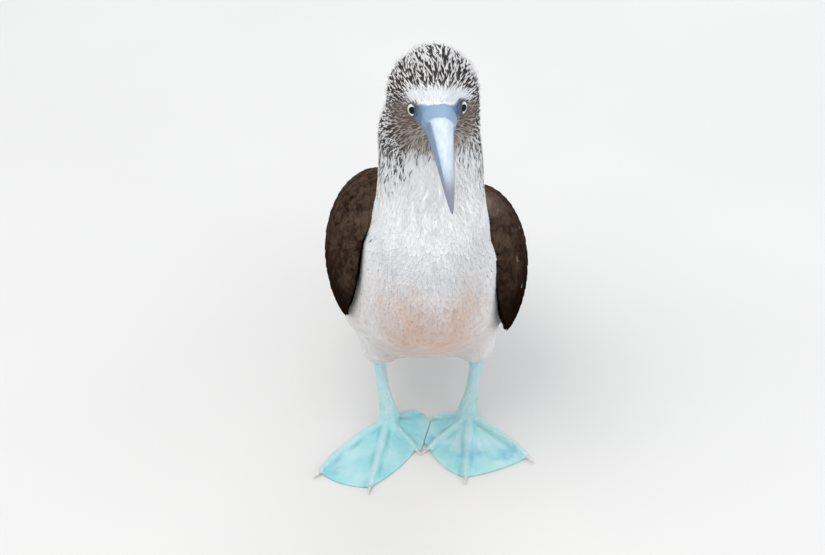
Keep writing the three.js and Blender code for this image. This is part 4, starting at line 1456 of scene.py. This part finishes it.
def feather_lines(side, rng, roots, tier_length):
    """u and v of the points along the middle of each of a tier's feathers."""
    step = 0.01
    u, v = np.maximum(roots[:, 0], 0.004), roots[:, 1]
    pace = length_of(wing_sheet(side, u + step, v) - wing_sheet(side, u, v)) / step
    length = tier_length * rng.uniform(0.9, 1.1, len(roots))
    ahead = np.minimum(length / pace, 0.988 - u)
    inward = v[:, None] * (1 - 0.25 * WING_ALONG * ease(60, 160, tier_length))
    v = inward + rng.normal(0, 0.012, (len(roots), 1)) * WING_ALONG
    return u[:, None] + ahead[:, None] * WING_ALONG, v


def wing_painted_light(z):
    """Painted light and shade: the wings' brown is lit above and shaded below, by height."""
    return ease(165, 262, z)


def pale_patch(side, u, v):
    places = WING_PATCHES[side]
    return np.max([hump(u, a, PATCH_ALONG) * hump(v, b, PATCH_ACROSS) for a, b in places], axis=0)


def wing_tier(side, rng, tier):
    """One tier's feathers: their points, roots and values."""
    tier_length, tier_half, height, point, white = tier[6:]
    roots = tier_roots(side, rng, *tier[:6])
    count = len(roots)
    u, v = feather_lines(side, rng, roots, tier_length)
    step = 0.01
    pace = length_of(wing_sheet(side, u, v + step) - wing_sheet(side, u, v - step)) / (2 * step)
    half = tier_half * rng.uniform(0.9, 1.1, (count, 1)) * profile(WING_ALONG, point, 0.45)
    v = v[..., None] + (half / np.maximum(pace, 4))[..., None] * WING_ACROSS
    u = np.broadcast_to(u[..., None], v.shape)
    high = (height + SUNK_ROOT) * ease(0, 0.3, WING_ALONG) - SUNK_ROOT
    high = high[:, None] + rng.uniform(0, 0.4, (count, 1, 1)) * WING_ALONG[:, None]
    shaft = 0.12 * (np.abs(WING_ACROSS) < SHAFT_SHARE)
    high = high - 0.5 * WING_ACROSS - 0.35 * WING_ACROSS ** 2 + shaft
    points = wing_point(side, u, np.clip(v, -1.04, 1.04), high)
    values = feather_values(count, WING_ALONG, WING_ACROSS, shade=rng.random(count),
                            tip=(rng.random(count) < white) * rng.random(count))
    values["patch"] = (pale_patch(side, u, v) * rng.uniform(0.3, 1, (count, 1, 1))).ravel()
    # Painted light and shade by height
    values["light"] = wing_painted_light(points[..., 2]).ravel()
    return points, roots, values


def flight_feathers(name, parts, material, along, across):
    """Parts of points, roots and values as one mesh."""
    points, roots = (np.concatenate([part[k] for part in parts]) for k in (0, 1))
    values = {key: np.concatenate([part[2][key] for part in parts]) for key in parts[0][2]}
    unwrap = np.stack([roots[:, 0] * 0.98, (roots[:, 1] + 1.1) / 2.25], -1)
    return piece(name, feather_mesh(name, points, along, across, unwrap), material, values)


def make_wings():
    brown = wing_material("wing_plumage", BROWN_SHADED, BROWN_HIGH, BROWN_EDGE, 0.8)
    rng = np.random.default_rng(21)
    for side in SIDES:
        mesh = mesh_of(f"wing_{side}_core", *wing_core(side))
        outward(mesh)
        # Painted light and shade by height, as on the feathers
        light = wing_painted_light(points_of(mesh)[:, 2])
        core = piece(f"wing_{side}_core", mesh, brown, {"light": light})
        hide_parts(f"wing_{side}")
        parts = [wing_tier(side, rng, tier) for tier in WING_TIERS]
        flight_feathers(f"wing_{side}_feathers", parts, brown, WING_ALONG, WING_ACROSS)


# Tail
TAIL_ALONG = np.linspace(0, 1, 14)
TAIL_ACROSS = np.array([-1, -0.6, -0.25, -0.05, 0, 0.05, 0.25, 0.6, 1])
TAIL_START = 24
TAIL_THICK = 0.5


def tail_feather(i, rng):
    """One feather's upper and lower faces, longest in the middle and sloping down to the sides."""
    spread = 2 * i / (TAIL_FEATHERS - 1) - 1
    rank, turn = abs(spread), TAIL_FAN * spread
    length = TAIL_LONGEST - (TAIL_LONGEST - TAIL_SHORTEST) * rank ** 1.2
    along = TAIL_START + (length - TAIL_START) * TAIL_ALONG[:, None]
    wide = TAIL_ACROSS * ((9.5 - 2 * rank) * profile(TAIL_ALONG, 0.62))[:, None]
    shaft = 0.25 * (np.abs(TAIL_ACROSS) < SHAFT_SHARE)
    layer = 1.3 - 5.4 * rank - (0.4 if spread < 0 else 0)
    high = layer - 3 * TAIL_ALONG[:, None] ** 2 + 0.5 * (1 - np.abs(TAIL_ACROSS)) + shaft
    x = wide * math.cos(turn) + along * math.sin(turn)
    y = along * math.cos(turn) - wide * math.sin(turn)
    points = np.stack([tail_point(y, x, high - under) for under in (0, TAIL_THICK)])
    roots = np.array([[0.2 + 0.04 * i, spread]] * 2)
    return points, roots, feather_values(2, TAIL_ALONG, TAIL_ACROSS, shade=rng.random(2))


def make_tail():
    brown = wing_material("tail_plumage", BROWN_HIGH, BROWN_EDGE, TAIL_EDGE, 0.5)
    rng = np.random.default_rng(31)
    parts = [tail_feather(i, rng) for i in range(TAIL_FEATHERS)]
    tail = flight_feathers("tail_feathers", parts, brown, TAIL_ALONG, TAIL_ACROSS)
    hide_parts("tail")


make_bill()
make_eyes()
make_feet()
make_wings()
make_tail()


# Stage, light and camera
CAMERA_PITCH = math.radians(36.7)
CAMERA_AWAY = 1.8
FOCAL_PIXELS = 1998
IMAGE_SIZE = (825, 555)
SENSOR = 36
AIM = (0, 0, 14)
AIM_PIXEL = (427.5, 412)
FLOOR_SIZE = 60
SKY = (0.92, 0.95, 1.0, 1)
SKY_STRENGTH = 0.87
# Lights: name, place, height aimed at, size, power, colour
LIGHTS = [
    ("key", (-0.8, -0.9, 2.3), 0.2, 1.6, 26, (1.0, 0.98, 0.95)),
    ("fill", (1.4, -1.0, 1.2), 0.2, 1.8, 8, (0.95, 0.97, 1.0)),
    ("back", (0.4, 1.6, 1.6), 0.25, 1.4, 10, (1.0, 1.0, 1.0)),
]


def make_camera():
    """The camera sees AIM at AIM_PIXEL, from CAMERA_AWAY metres, level sideways."""
    data = bpy.data.cameras.new("camera")
    camera = in_scene("camera", data)
    forward = Vector((0, math.cos(CAMERA_PITCH), -math.sin(CAMERA_PITCH)))
    upward = Vector((0, math.sin(CAMERA_PITCH), math.cos(CAMERA_PITCH)))
    aside = (AIM_PIXEL[0] - IMAGE_SIZE[0] / 2) / FOCAL_PIXELS * CAMERA_AWAY
    above = -(AIM_PIXEL[1] - IMAGE_SIZE[1] / 2) / FOCAL_PIXELS * CAMERA_AWAY
    aim = Vector(placed(np.array(AIM, float)))
    camera.location = aim - forward * CAMERA_AWAY - Vector((1, 0, 0)) * aside - upward * above
    camera.rotation_euler = (math.pi / 2 - CAMERA_PITCH, 0, 0)
    data.sensor_width = SENSOR
    data.lens = FOCAL_PIXELS / IMAGE_SIZE[0] * SENSOR
    bpy.context.scene.camera = camera


def make_light(name, place, aim_height, size, power, colour):
    data = bpy.data.lights.new(name, "AREA")
    data.size = size
    data.energy = power
    data.color = colour
    light = in_scene(name, data)
    light.location = place
    light.rotation_euler = (Vector((0, 0, aim_height)) - Vector(place)).to_track_quat("-Z", "Y").to_euler()


def make_stage():
    bpy.ops.mesh.primitive_plane_add(size=FLOOR_SIZE)
    floor = bpy.context.object
    floor.name = "floor"
    floor.data.materials.append(floor_material())
    world = bpy.data.worlds.new("studio")
    world.use_nodes = True
    background = world.node_tree.nodes["Background"]
    background.inputs["Color"].default_value = SKY
    background.inputs["Strength"].default_value = SKY_STRENGTH
    bpy.context.scene.world = world
    bpy.context.scene.view_settings.view_transform = "Standard"
    for light in LIGHTS:
        make_light(*light)


make_camera()
make_stage()
